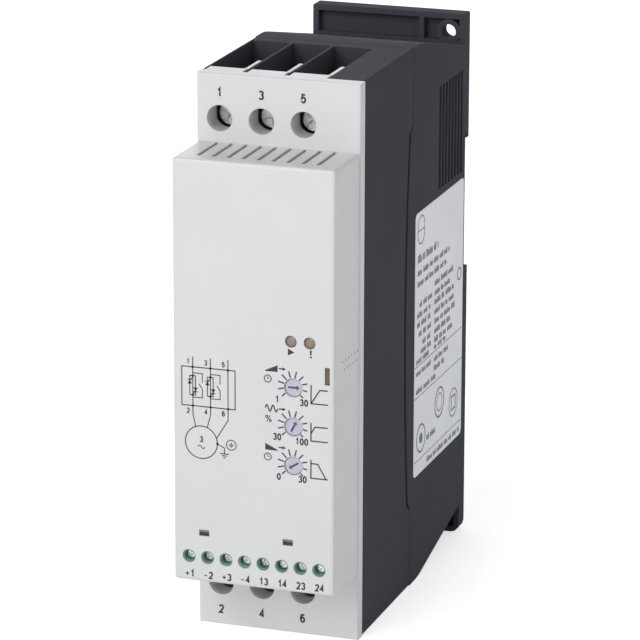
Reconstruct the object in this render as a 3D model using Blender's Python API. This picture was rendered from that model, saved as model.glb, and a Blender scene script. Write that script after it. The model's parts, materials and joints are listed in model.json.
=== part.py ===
"""Soft starter for a three-phase motor, as it comes apart on a bench.

The device stands upright with its control face towards -Y and its mounting plate towards +Y. The origin
is the centre of its footprint. A pale stepped cover closes a black terminal housing with three cable
chambers above and three below. Behind it a black rear housing covers the heat sink, and a back plate
carries the rail hook, the sprung rail latch and the screw holes.
"""

import math

import bmesh
import bpy
from mathutils import Vector

MM = 0.001

# Overall size
WIDTH = 45.0 * MM
HEIGHT = 152.0 * MM
DEPTH = 118.0 * MM
GAP = 0.3 * MM          # clearance between two pieces that sit against each other
OVERSHOOT = 2.0 * MM    # how far a cutter runs past the face that it opens
CYLINDER_SIDES = 24     # of a round form, unless it says another number

# Front cover
STEP_DEPTH = 19.7 * MM          # the control block stands this far out of the terminal faces
UPPER_FACE_HEIGHT = 18.3 * MM
LOWER_FACE_HEIGHT = 19.0 * MM
UNDERSIDE_RISE = 1.0 * MM       # the block's underside drops this much towards the terminal face
BLOCK_INSET = 0.3 * MM
COVER_RIM = 3.5 * MM            # depth of the cover's side wall behind the terminal faces
COVER_WALL = 1.8 * MM
COVER_EDGE_RADIUS = 0.8 * MM
TERMINAL_HOLE_RADIUS = 3.5 * MM
COLLAR_LENGTH = 7.4 * MM        # the box behind each terminal hole, which shows as a sill
WELL_RADIUS = 3.95 * MM         # of the well inside that box
WELL_HALF_WIDTH = 3.5 * MM      # between the flats on its left and its right
FIN_THICKNESS = 1.6 * MM
FIN_REACH = 13.0 * MM
FIN_HEIGHT = 5.0 * MM
FIN_DROP = 0.6 * MM

# Vents in the step above the control block
STEP_VENT_COUNT = 9
STEP_VENT_MARGINS = (6.1 * MM, 6.42 * MM)  # from the left and the right side
STEP_VENT_WIDTH = 1.1 * MM
STEP_VENT_START = 4.3 * MM      # from the control face

# Openings in the control face, measured from the right side and from the bottom
DIAL_INSET = 11.5 * MM
DIAL_HEIGHTS = (75.0 * MM, 64.4 * MM, 53.8 * MM)
DIAL_RADIUS = 2.4 * MM
DIAL_HOLE_GAP = 0.12 * MM
LED_INSETS = (12.2 * MM, 7.1 * MM)
LED_HEIGHT = 87.4 * MM
LED_RADIUS = 1.45 * MM
CODING_SLOT_INSETS = (2.9 * MM, 1.6 * MM)
CODING_SLOT_HEIGHT = (76.6 * MM, 81.3 * MM)
CODING_SLOT_DEPTH = 3.0 * MM
RELEASE_SLOT_INSETS = (36.25 * MM, 13.0 * MM)
RELEASE_SLOT_HEIGHT = 32.6 * MM
RELEASE_SLOT_SIZE = (2.8 * MM, 1.7 * MM)

# Control terminals
CONTROL_COUNT = 8
CONTROL_MARGINS = (4.5 * MM, 4.4 * MM)  # from the left and the right side
CONTROL_HEIGHT = 25.85 * MM
CONTROL_HOLE_RADIUS = 1.8 * MM
CONTROL_TUBE_GAP = 0.1 * MM
CONTROL_TUBE_WALL = 0.25 * MM
CONTROL_SCREW_RADIUS = 1.3 * MM
CONTROL_SCREW_SHANK = 0.9 * MM
CONTROL_SCREW_HEAD = 1.3 * MM
CONTROL_SCREW_DEPTH = 2.0 * MM   # from the control face to the screw head
CONTROL_SCREW_LENGTH = 6.4 * MM
CONTROL_BLOCK_HEIGHT = 10.6 * MM
WIRE_ENTRY = (3.2 * MM, 5.0 * MM)
WIRE_ENTRY_Y = 9.0 * MM          # centre, from the control face

# Power terminals
POLE_COUNT = 3
OUTER_WALL = 0.925 * MM          # left of the first chamber
SIDE_BLOCK = 10.225 * MM         # closed part right of the third chamber
TERMINAL_INSET = 12.0 * MM       # from the end of the housing to the middle of the holes
SCREW_INSET = 12.5 * MM          # and to the screw axis
RIB = 0.8 * MM
CHAMBER_DEPTH = 24.0 * MM        # from the end of the housing to the chamber's floor
CHAMBER_BACK = 60.8 * MM         # from the control face
WEB = 1.5 * MM                   # wall between the collar and the cable space
SCREW_HEAD_RADIUS = 3.3 * MM
SCREW_HEAD_HEIGHT = 2.2 * MM
SCREW_HEAD_SET = 0.6 * MM        # how far the head lies inside the web
DRIVER_HOLE_MARGIN = 0.4 * MM    # open ring round the head
SCREW_SHANK_RADIUS = 1.9 * MM
SCREW_LENGTH = 12.4 * MM         # under the head
SCREW_ANGLES = (20.0, 75.0, 130.0)  # of the slots, in degrees
CAGE_SIDE_GAP = 1.075 * MM       # beside the clamp in its chamber
CAGE_HEIGHT = 9.0 * MM
CAGE_WALL = 1.0 * MM
CAGE_FRONT_WALL = 2.4 * MM
CAGE_BACK_WALL = 1.4 * MM
CAGE_OPEN = 7.0 * MM             # room behind the current bar with the clamp open
CAGE_TRAVEL = 6.0 * MM
CAGE_HEAD_ROOM = 0.8 * MM        # left between the closed clamp and the screw head
BAR_THICKNESS = 1.5 * MM
BAR_TIP_INSET = 7.8 * MM         # from the end of the housing to the bar's tip
BAR_TURN_INSET = 29.0 * MM       # from the end of the housing to the bar's bend

# Housings
HOUSING_WALL = 1.5 * MM
SEAM = 65.0 * MM                 # from the control face to the joint between the housings
SEAM_STEP = 3.4 * MM             # the side walls are cut back from the seam between the chambers
SEAM_BOW = 3.1 * MM              # and bow further forwards in the middle
SEAM_SHADOW = 1.6 * MM           # open line between the two side walls
SEAM_END_INSETS = (22.0 * MM, 20.6 * MM)  # from the lower and the upper end
SEAM_RAMP = 2.4 * MM
LIP_THICKNESS = 0.9 * MM
LIP_REACH = 10.0 * MM
REAR_WALL = 1.8 * MM
SHOULDER = 70.0 * MM             # from the control face to where the rear housing starts to slope
TAPER_ANGLE = math.radians(12.3)
TAPER_RADIUS = 25.0 * MM
SIDE_VENT_COUNT = 8
SIDE_VENT_PITCH = 2.89 * MM
SIDE_VENT_WIDTH = 1.9 * MM
SIDE_VENT_LAST = 7.97 * MM       # centre of the last, from the back
SIDE_VENT_INSETS = (15.5 * MM, 44.5 * MM)  # from the upper end
END_VENT_COUNT = 6
END_VENT_MARGIN = 7.5 * MM       # from the side to the centre of the first
END_VENT_WIDTH = 3.0 * MM
END_VENT_RUN = (34.0 * MM, 12.0 * MM)  # from the back

# Back plate, with its rail recess and its screws
PLATE_THICKNESS = 5.0 * MM
PLATE_INSET = 0.25 * MM
PLATE_CORNERS = (0.5 * MM, 2.4 * MM)  # at the upper and the lower end
EAR_HEIGHT = 7.6 * MM
EAR_RIM = 1.6 * MM
EAR_RECESS = 2.4 * MM
EAR_RIB = 1.5 * MM
EAR_RIB_INSET = 12.9 * MM        # from the side
MOUNT_HOLE_RADIUS = 2.1 * MM
MOUNT_HOLE_INSETS = (5.0 * MM, 5.2 * MM)  # from the side and from the plate's end
MOUNT_BOSS_RADIUS = 3.5 * MM
RAIL_WINDOW_INSETS = (73.4 * MM, 36.0 * MM)  # of its lower and upper edge, from the upper end
RAIL_DEPTH = 3.2 * MM            # of the recess, from the back
RAIL_FLANGE = 1.0 * MM           # thickness of the rail's edge
RAIL_HOOK = 1.5 * MM             # how far the hook and the latch reach over the rail's edge
RAIL_HEIGHT = 35.0 * MM
BASE_SCREW_INSETS = (6.5 * MM, 13.6 * MM)  # from the sides and from the ends
BASE_SCREW_RADIUS = 1.25 * MM
BASE_SCREW_HEAD_RADIUS = 2.3 * MM
BASE_SCREW_HEAD = 1.6 * MM
BASE_SCREW_LENGTH = 9.0 * MM
BOSS_RADIUS = 2.9 * MM
BOSS_LENGTH = 12.0 * MM

# Rail latch and its spring
LATCH_WIDTH = 19.4 * MM
LATCH_FLANGE = 1.3 * MM          # the flange runs under the plate's lips on each side
LATCH_FLANGE_THICKNESS = 1.0 * MM
LATCH_BOTTOM = 4.2 * MM
LATCH_CLEARANCE = 0.25 * MM
LATCH_BACK_INSET = 0.2 * MM
PULL_SLOT = (7.0 * MM, 2.5 * MM)
PULL_SLOT_BOTTOM = 2.0 * MM
SPRING_RADIUS = 1.0 * MM
SPRING_WIRE_RADIUS = 0.22 * MM
SPRING_TURNS = 7
SPRING_LENGTH = 15.0 * MM
SPRING_POST_DROP = 34.3 * MM     # from the rail recess down to the post
SPRING_POST_HEIGHT = 2.0 * MM
SPRING_POST_WIDTH = 4.4 * MM

# Inner pieces
BOARD_THICKNESS = 1.6 * MM
CONTROL_BOARD_Y = 14.2 * MM
CONTROL_BOARD_INSETS = (22.5 * MM, 26.0 * MM)  # from the lower and the upper end
POWER_BOARD_Y = 59.5 * MM
POWER_BOARD_INSETS = (27.5 * MM, 27.5 * MM)
BOARD_SIDE_INSET = 3.4 * MM
POT_SIZE = 6.6 * MM
POT_DEPTH = 6.7 * MM
POT_SOCKET = 3.0 * MM
DIAL_FACE = 0.35 * MM            # how far the dial's face lies behind the control face
DIAL_THICKNESS = 1.9 * MM
DIAL_SHAFT_RADIUS = 1.0 * MM
ARROW_DEPTH = 0.5 * MM
ARROW_LENGTH = 3.1 * MM
ARROW_SLOT = 0.55 * MM
ARROW_HEAD = 1.5 * MM
DIAL_ANGLES = (0.0, 62.0, 213.0)  # where each arrow points, in degrees from +X towards +Z
RELAY_DEPTH = 20.5 * MM
RELAY_INSETS = (7.5 * MM, 34.0 * MM)   # from the sides and from the ends
RELAY_LINK_ROOM = 11.5 * MM            # between a relay and the board link
MODULE_DEPTH = 9.6 * MM
MODULE_INSETS = (6.0 * MM, 34.0 * MM)
MODULE_ROOM = 32.0 * MM                # between the two modules
MODULE_PIN = 1.0 * MM
LINK_WIDTH = 22.0 * MM
LINK_HEIGHT = 5.0 * MM
LINK_SOCKET = 8.0 * MM
LINK_PINS = 8
LINK_PIN = 0.8 * MM
SINK_BASE = 4.6 * MM
SINK_SIDE_GAP = 1.0 * MM         # from the outer fin to the rear housing's side wall
SINK_END_INSET = 18.5 * MM
SINK_FINS = 8
SINK_FIN_THICKNESS = 1.4 * MM

# Places worked out from the sizes above
LEFT, RIGHT = -WIDTH / 2, WIDTH / 2
FRONT, BACK = -DEPTH / 2, DEPTH / 2
TERMINAL_FACE = FRONT + STEP_DEPTH
COVER_BACK = TERMINAL_FACE + COVER_RIM
COLLAR_BACK = TERMINAL_FACE + COLLAR_LENGTH
BLOCK_TOP = HEIGHT - UPPER_FACE_HEIGHT
BLOCK_BOTTOM = LOWER_FACE_HEIGHT
HOUSING_FRONT = COVER_BACK + GAP
HOUSING_BACK = FRONT + SEAM
POLE_PITCH = (WIDTH - OUTER_WALL - SIDE_BLOCK + RIB) / POLE_COUNT
CHAMBER_WIDTH = POLE_PITCH - RIB
CAGE_WIDTH = CHAMBER_WIDTH - 2 * CAGE_SIDE_GAP
BAR_WIDTH = CAGE_WIDTH - 2 * CAGE_WALL - 2 * GAP
CONTROL_PITCH = (WIDTH - sum(CONTROL_MARGINS)) / (CONTROL_COUNT - 1)
WEB_FRONT = COLLAR_BACK + GAP
WEB_BACK = WEB_FRONT + WEB
SCREW_HEAD_FRONT = WEB_FRONT + SCREW_HEAD_SET
BAR_FRONT = SCREW_HEAD_FRONT + SCREW_HEAD_HEIGHT + SCREW_LENGTH + GAP
BAR_BACK = BAR_FRONT + BAR_THICKNESS
CAGE_BACK = BAR_BACK + CAGE_OPEN + CAGE_BACK_WALL
CAGE_FRONT = SCREW_HEAD_FRONT + SCREW_HEAD_HEIGHT + CAGE_TRAVEL + CAGE_HEAD_ROOM
PLATE_FRONT = BACK - PLATE_THICKNESS
REAR_BACK = PLATE_FRONT - GAP
RAIL_SEAT = BACK - RAIL_DEPTH
RAIL_WINDOW = tuple(HEIGHT - inset for inset in RAIL_WINDOW_INSETS)
SPRING_POST_BOTTOM = RAIL_WINDOW[0] - SPRING_POST_DROP
SEAM_ENDS = (SEAM_END_INSETS[0], HEIGHT - SEAM_END_INSETS[1])


def clear_scene():
    """Remove whatever the open file holds."""
    for obj in list(bpy.data.objects):
        bpy.data.objects.remove(obj, do_unlink=True)


def make_material(name, colour, roughness, metallic=0.0):
    """A plain finish for one kind of stuff."""
    material = bpy.data.materials.new(name)
    material.use_nodes = True
    shader = material.node_tree.nodes["Principled BSDF"]
    shader.inputs["Base Color"].default_value = (*colour, 1.0)
    shader.inputs["Roughness"].default_value = roughness
    shader.inputs["Metallic"].default_value = metallic
    return material


def add_box(bm, x, y, z):
    """A box between two limits on each axis."""
    corners = [(a, b, c) for a in x for b in y for c in z]
    verts = [bm.verts.new(corner) for corner in corners]
    for quad in ((0, 1, 3, 2), (4, 6, 7, 5), (0, 4, 5, 1), (2, 3, 7, 6), (0, 2, 6, 4), (1, 5, 7, 3)):
        bm.faces.new([verts[i] for i in quad])


def add_prism(bm, outline, axis, start, end):
    """An outline extruded along one axis. Its points are the two other coordinates, in X, Y, Z order."""
    place = {
        "X": lambda p, t: (t, p[0], p[1]),
        "Y": lambda p, t: (p[0], t, p[1]),
        "Z": lambda p, t: (p[0], p[1], t),
    }[axis]
    near = [bm.verts.new(place(p, start)) for p in outline]
    far = [bm.verts.new(place(p, end)) for p in outline]
    bm.faces.new(near)
    bm.faces.new(list(reversed(far)))
    for i in range(len(outline)):
        j = (i + 1) % len(outline)
        bm.faces.new((near[i], near[j], far[j], far[i]))


def circle(cx, cz, radius, sides=CYLINDER_SIDES):
    """Points round a circle."""
    turn = 2 * math.pi / sides
    return [(cx + radius * math.cos(i * turn), cz + radius * math.sin(i * turn)) for i in range(sides)]


def add_cylinder(bm, cx, cz, radius, y, sides=CYLINDER_SIDES):
    """A round bar along Y between two limits."""
    add_prism(bm, circle(cx, cz, radius, sides), "Y", *y)


def add_turned(bm, profile, sides=CYLINDER_SIDES):
    """A turned body round the Y axis through the origin, from (radius, y) points."""
    rings = []
    for radius, y in profile:
        if radius == 0:
            rings.append([bm.verts.new((0, y, 0))])
        else:
            rings.append([bm.verts.new((x, y, z)) for x, z in circle(0, 0, radius, sides)])
    for low, high in zip(rings, rings[1:]):
        for i in range(sides):
            j = (i + 1) % sides
            face = [low[i % len(low)], low[j % len(low)], high[j % len(high)], high[i % len(high)]]
            bm.faces.new(list(dict.fromkeys(face)))
    for ring in (rings[0], rings[-1]):
        if len(ring) > 1:
            bm.faces.new(ring)


def round_edges(bm, radius, chosen, segments=2):
    """Round the edges that the test picks."""
    edges = [e for e in bm.edges if chosen(*(v.co for v in e.verts))]
    bmesh.ops.bevel(bm, geom=edges, offset=radius, segments=segments, profile=0.5, affect="EDGES")


def along(axis):
    """A test for edges that run along one axis."""
    others = [i for i in range(3) if i != axis]
    return lambda a, b: all(abs(a[i] - b[i]) < 1e-7 for i in others)


def to_object(name, bm, material=None, location=(0, 0, 0)):
    """Turn a mesh under construction into a scene object."""
    bmesh.ops.recalc_face_normals(bm, faces=bm.faces)
    mesh = bpy.data.meshes.new(name)
    bm.to_mesh(mesh)
    bm.free()
    mesh.shade_smooth()
    mesh.set_sharp_from_angle(angle=math.radians(35))
    obj = bpy.data.objects.new(name, mesh)
    bpy.context.scene.collection.objects.link(obj)
    obj.location = location
    if material:
        obj.data.materials.append(material)
    return obj


def shape(build):
    """A fresh mesh filled by a function."""
    bm = bmesh.new()
    build(bm)
    return bm


def combine(obj, operation, *builders):
    """Join solids to an object, or cut them out of it, one Boolean for each builder."""
    for build in builders:
        tool = to_object(f"{obj.name}_{operation.lower()}_{len(obj.modifiers)}", shape(build))
        tool.location = obj.location
        tool.rotation_euler = obj.rotation_euler
        tool.hide_render = True
        tool.display_type = "WIRE"
        modifier = obj.modifiers.new(tool.name, "BOOLEAN")
        modifier.operation = operation
        modifier.object = tool
        modifier.solver = "EXACT"


def cut(obj, *builders):
    combine(obj, "DIFFERENCE", *builders)


def join(obj, *builders):
    combine(obj, "UNION", *builders)


def pole_x(i):
    """Middle of a power pole."""
    return LEFT + OUTER_WALL + CHAMBER_WIDTH / 2 + i * POLE_PITCH


def control_x(i):
    """Middle of a control terminal."""
    return LEFT + CONTROL_MARGINS[0] + i * CONTROL_PITCH


def from_end(upper, inset):
    """A height measured from the device's upper or lower end."""
    return HEIGHT - inset if upper else inset


def between(upper, inset_a, inset_b):
    """Two heights measured from an end, lowest first."""
    return sorted((from_end(upper, inset_a), from_end(upper, inset_b)))


def cover_vents(bm):
    """Slots through the step above the control block."""
    pitch = (WIDTH - sum(STEP_VENT_MARGINS)) / (STEP_VENT_COUNT - 1)
    for i in range(STEP_VENT_COUNT):
        x = LEFT + STEP_VENT_MARGINS[0] + i * pitch
        add_box(
            bm,
            (x - STEP_VENT_WIDTH / 2, x + STEP_VENT_WIDTH / 2),
            (FRONT + STEP_VENT_START, TERMINAL_FACE - STEP_VENT_WIDTH / 2),
            (BLOCK_TOP - COVER_WALL - OVERSHOOT, BLOCK_TOP + OVERSHOOT),
        )


def cover_face_openings(bm):
    """Openings in the control face: dials, lamps, control screws and the release slots."""
    through = (FRONT - OVERSHOOT, FRONT + COVER_WALL + OVERSHOOT)
    for z in DIAL_HEIGHTS:
        add_cylinder(bm, RIGHT - DIAL_INSET, z, DIAL_RADIUS + DIAL_HOLE_GAP, through, 32)
    for inset in LED_INSETS:
        add_cylinder(bm, RIGHT - inset, LED_HEIGHT, LED_RADIUS + GAP / 2, through, 16)
    for i in range(CONTROL_COUNT):
        add_cylinder(bm, control_x(i), CONTROL_HEIGHT, CONTROL_HOLE_RADIUS, through, 20)
    half_width, half_height = (side / 2 for side in RELEASE_SLOT_SIZE)
    for inset in RELEASE_SLOT_INSETS:
        middle = RIGHT - inset
        add_box(
            bm,
            (middle - half_width, middle + half_width),
            through,
            (RELEASE_SLOT_HEIGHT - half_height, RELEASE_SLOT_HEIGHT + half_height),
        )
    add_box(
        bm,
        [RIGHT - inset for inset in CODING_SLOT_INSETS],
        (FRONT - OVERSHOOT, FRONT + CODING_SLOT_DEPTH),
        CODING_SLOT_HEIGHT,
    )


def cover_wire_entries(bm):
    """Openings under the control block for the control wires."""
    half_width, half_depth = (side / 2 + GAP for side in WIRE_ENTRY)
    for i in range(CONTROL_COUNT):
        add_box(
            bm,
            (control_x(i) - half_width, control_x(i) + half_width),
            (FRONT + WIRE_ENTRY_Y - half_depth, FRONT + WIRE_ENTRY_Y + half_depth),
            (BLOCK_BOTTOM - UNDERSIDE_RISE - OVERSHOOT, BLOCK_BOTTOM + COVER_WALL + OVERSHOOT),
        )


def collar_x(i):
    """Sides of the box behind one terminal hole."""
    half = CHAMBER_WIDTH / 2 - GAP
    return pole_x(i) - half, pole_x(i) + half


def cover_collars(bm, upper):
    """The boxes that reach back into the chambers behind the terminal holes."""
    for i in range(POLE_COUNT):
        add_box(
            bm,
            collar_x(i),
            (TERMINAL_FACE + COVER_WALL / 2, COLLAR_BACK),
            between(upper, 0, CHAMBER_DEPTH - GAP),
        )


def cover_fins(bm, upper):
    """Guide fins that run on from the collars beside the ribs."""
    for i in range(POLE_COUNT):
        side = collar_x(i)[1]
        add_box(
            bm,
            (side - FIN_THICKNESS, side),
            (COLLAR_BACK - COVER_WALL, COLLAR_BACK + FIN_REACH),
            between(upper, FIN_DROP, FIN_DROP + FIN_HEIGHT),
        )


def screw_wells(bm, upper):
    """Round wells inside the collars, flattened on the left and on the right."""
    for i in range(POLE_COUNT):
        middle = pole_x(i)
        left, right = middle - WELL_HALF_WIDTH, middle + WELL_HALF_WIDTH
        rim = circle(middle, from_end(upper, TERMINAL_INSET), WELL_RADIUS, 32)
        outline = [(min(max(x, left), right), z) for x, z in rim]
        add_prism(bm, outline, "Y", TERMINAL_FACE + COVER_WALL, COLLAR_BACK + OVERSHOOT)


def terminal_holes(bm, upper):
    """Round holes for the screwdriver."""
    middle = from_end(upper, TERMINAL_INSET)
    for i in range(POLE_COUNT):
        add_cylinder(
            bm,
            pole_x(i),
            middle,
            TERMINAL_HOLE_RADIUS,
            (TERMINAL_FACE - OVERSHOOT, TERMINAL_FACE + COVER_WALL + OVERSHOOT),
            32,
        )


def make_front_cover(material):
    """The pale stepped moulding: one shell with collars, fins, vents and openings."""
    slab = shape(lambda bm: add_box(bm, (LEFT, RIGHT), (TERMINAL_FACE, COVER_BACK), (0, HEIGHT)))
    round_edges(slab, COVER_EDGE_RADIUS / 2, lambda a, b: max(a.y, b.y) < TERMINAL_FACE + MM / 10)
    cover = to_object("front_cover", slab, material)

    def outer_edge(a, b):
        at_front = max(a.y, b.y) < FRONT + MM / 10
        on_side = abs(a.x - b.x) < MM / 10 and abs(a.y - b.y) > STEP_DEPTH / 2
        return at_front or on_side

    def block(bm):
        outline = [
            (FRONT, BLOCK_BOTTOM),
            (FRONT, BLOCK_TOP),
            (TERMINAL_FACE + COVER_WALL / 2, BLOCK_TOP),
            (TERMINAL_FACE + COVER_WALL / 2, BLOCK_BOTTOM - UNDERSIDE_RISE),
        ]
        add_prism(bm, outline, "X", LEFT + BLOCK_INSET, RIGHT - BLOCK_INSET)
        round_edges(bm, COVER_EDGE_RADIUS, outer_edge)

    def block_cavity(bm):
        half = WIDTH / 2 - BLOCK_INSET - COVER_WALL
        low, high = BLOCK_BOTTOM + COVER_WALL, BLOCK_TOP - COVER_WALL
        add_box(bm, (-half, half), (FRONT + COVER_WALL, COVER_BACK + OVERSHOOT), (low, high))

    def side_cavity(upper):
        # the hollow beside the three collars, at the end of the slab
        inner = BLOCK_TOP - COVER_WALL if upper else BLOCK_BOTTOM + COVER_WALL
        z = sorted((inner, from_end(upper, COVER_WALL)))
        x = (collar_x(POLE_COUNT - 1)[1] + COVER_WALL, RIGHT - COVER_WALL)
        y = (TERMINAL_FACE + COVER_WALL, COVER_BACK + OVERSHOOT)
        return lambda bm: add_box(bm, x, y, z)

    join(cover, block)
    cut(cover, block_cavity, side_cavity(True), side_cavity(False))
    for upper in (True, False):
        join(cover, lambda bm: cover_collars(bm, upper))
        cut(cover, lambda bm: screw_wells(bm, upper), lambda bm: terminal_holes(bm, upper))
        join(cover, lambda bm: cover_fins(bm, upper))
    cut(cover, cover_vents, cover_face_openings, cover_wire_entries)
    return cover


def seam_curve(offset, steps=12):
    """Bowed edge of the side walls between the chambers, bottom to top, as (y, z) points."""
    low, high = SEAM_ENDS[0] + SEAM_RAMP, SEAM_ENDS[1] - SEAM_RAMP
    points = [(HOUSING_BACK + offset, SEAM_ENDS[0])]
    for i in range(steps + 1):
        share = 2 * i / steps - 1
        bow = SEAM_STEP + SEAM_BOW * (1 - share * share)
        points.append((HOUSING_BACK - bow + offset, low + (high - low) * i / steps))
    return points + [(HOUSING_BACK + offset, SEAM_ENDS[1])]


def cable_chambers(bm, upper):
    """The open cable spaces of one end."""
    for i in range(POLE_COUNT):
        half = CHAMBER_WIDTH / 2
        add_box(
            bm,
            (pole_x(i) - half, pole_x(i) + half),
            (WEB_BACK, FRONT + CHAMBER_BACK),
            between(upper, -OVERSHOOT, CHAMBER_DEPTH),
        )


def collar_pockets(bm, upper):
    """The front of each chamber, where the cover's collar sits."""
    for i in range(POLE_COUNT):
        half = CHAMBER_WIDTH / 2
        add_box(
            bm,
            (pole_x(i) - half, pole_x(i) + half),
            (HOUSING_FRONT - OVERSHOOT, WEB_FRONT),
            between(upper, -OVERSHOOT, CHAMBER_DEPTH),
        )


def fin_notches(bm, upper):
    """Notches over the webs that the cover's fins pass through."""
    for i in range(POLE_COUNT):
        half = CHAMBER_WIDTH / 2
        add_box(
            bm,
            (pole_x(i) - half, pole_x(i) + half),
            (WEB_FRONT - WEB / 2, WEB_BACK + WEB / 2),
            between(upper, -OVERSHOOT, FIN_DROP + FIN_HEIGHT + GAP),
        )


def driver_holes(bm, upper):
    """Round holes in the webs, in front of the screw heads."""
    for i in range(POLE_COUNT):
        y = (WEB_FRONT - OVERSHOOT / 4, WEB_BACK + OVERSHOOT / 4)
        radius = SCREW_HEAD_RADIUS + DRIVER_HOLE_MARGIN
        add_cylinder(bm, pole_x(i), from_end(upper, SCREW_INSET), radius, y)


def bar_slots(bm, upper):
    """Slots in the chamber floors, for the current bars."""
    half = BAR_WIDTH / 2 + GAP
    for i in range(POLE_COUNT):
        add_box(
            bm,
            (pole_x(i) - half, pole_x(i) + half),
            (BAR_FRONT - GAP, BAR_BACK + GAP),
            between(upper, CHAMBER_DEPTH - OVERSHOOT / 4, CHAMBER_DEPTH + HOUSING_WALL + OVERSHOOT / 4),
        )


def make_terminal_housing(material):
    """Black front housing: a frame with six cable chambers, open towards the cover and the rear housing."""
    bm = shape(lambda b: add_box(b, (LEFT, RIGHT), (HOUSING_FRONT, HOUSING_BACK), (0, HEIGHT)))
    round_edges(bm, COVER_EDGE_RADIUS / 2, along(1), 1)
    housing = to_object("terminal_housing", bm, material)
    inner = WIDTH / 2 - HOUSING_WALL
    floor = CHAMBER_DEPTH + HOUSING_WALL

    def core(b):
        y = (HOUSING_FRONT - OVERSHOOT, HOUSING_BACK + OVERSHOOT)
        add_box(b, (-inner, inner), y, (floor, HEIGHT - floor))

    def end_spaces(b):
        # behind the chambers, and beside the third pole
        rear = (FRONT + CHAMBER_BACK + HOUSING_WALL, HOUSING_BACK + OVERSHOOT)
        side = (pole_x(POLE_COUNT - 1) + CHAMBER_WIDTH / 2 + HOUSING_WALL, inner)
        front = (HOUSING_FRONT - OVERSHOOT, rear[0] - HOUSING_WALL)
        for upper in (True, False):
            add_box(b, (-inner, inner), rear, between(upper, HOUSING_WALL, floor + HOUSING_WALL))
            add_box(b, side, front, between(upper, HOUSING_WALL, floor + HOUSING_WALL))

    def side_relief(b):
        outline = seam_curve(0)
        outline += [(HOUSING_BACK + OVERSHOOT, SEAM_ENDS[1]), (HOUSING_BACK + OVERSHOOT, SEAM_ENDS[0])]
        add_prism(b, outline, "X", LEFT - OVERSHOOT, -inner)
        add_prism(b, outline, "X", inner, RIGHT + OVERSHOOT)

    cut(housing, core, end_spaces, side_relief)
    for upper in (True, False):
        cut(
            housing,
            lambda b: cable_chambers(b, upper),
            lambda b: collar_pockets(b, upper),
            lambda b: fin_notches(b, upper),
            lambda b: driver_holes(b, upper),
            lambda b: bar_slots(b, upper),
        )
    return housing


def tapered_outline(inset, y_start, y_end):
    """Side outline of the rear housing, flat and then sloping in behind the shoulder, as (y, z) points."""
    start = FRONT + SHOULDER
    radius = TAPER_RADIUS - inset
    arc = [TAPER_ANGLE * i / 4 for i in range(5)]
    top = [(start + radius * math.sin(a), HEIGHT - inset - radius * (1 - math.cos(a))) for a in arc]
    y, z = top[-1]
    top = [(y_start, HEIGHT - inset)] + top + [(y_end, z - (y_end - y) * math.tan(TAPER_ANGLE))]
    return top + [(y, HEIGHT - z) for y, z in reversed(top)]


def taper_rise(y):
    """How far the rear housing's sloping ends have come in at a depth behind the rounded shoulder."""
    bend = FRONT + SHOULDER + TAPER_RADIUS * math.sin(TAPER_ANGLE)
    return TAPER_RADIUS * (1 - math.cos(TAPER_ANGLE)) + (y - bend) * math.tan(TAPER_ANGLE)


def base_screw_places():
    """Middle of each screw that holds the back plate."""
    side, end = BASE_SCREW_INSETS
    return [(x, z) for z in (end, HEIGHT - end) for x in (LEFT + side, RIGHT - side)]


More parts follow.
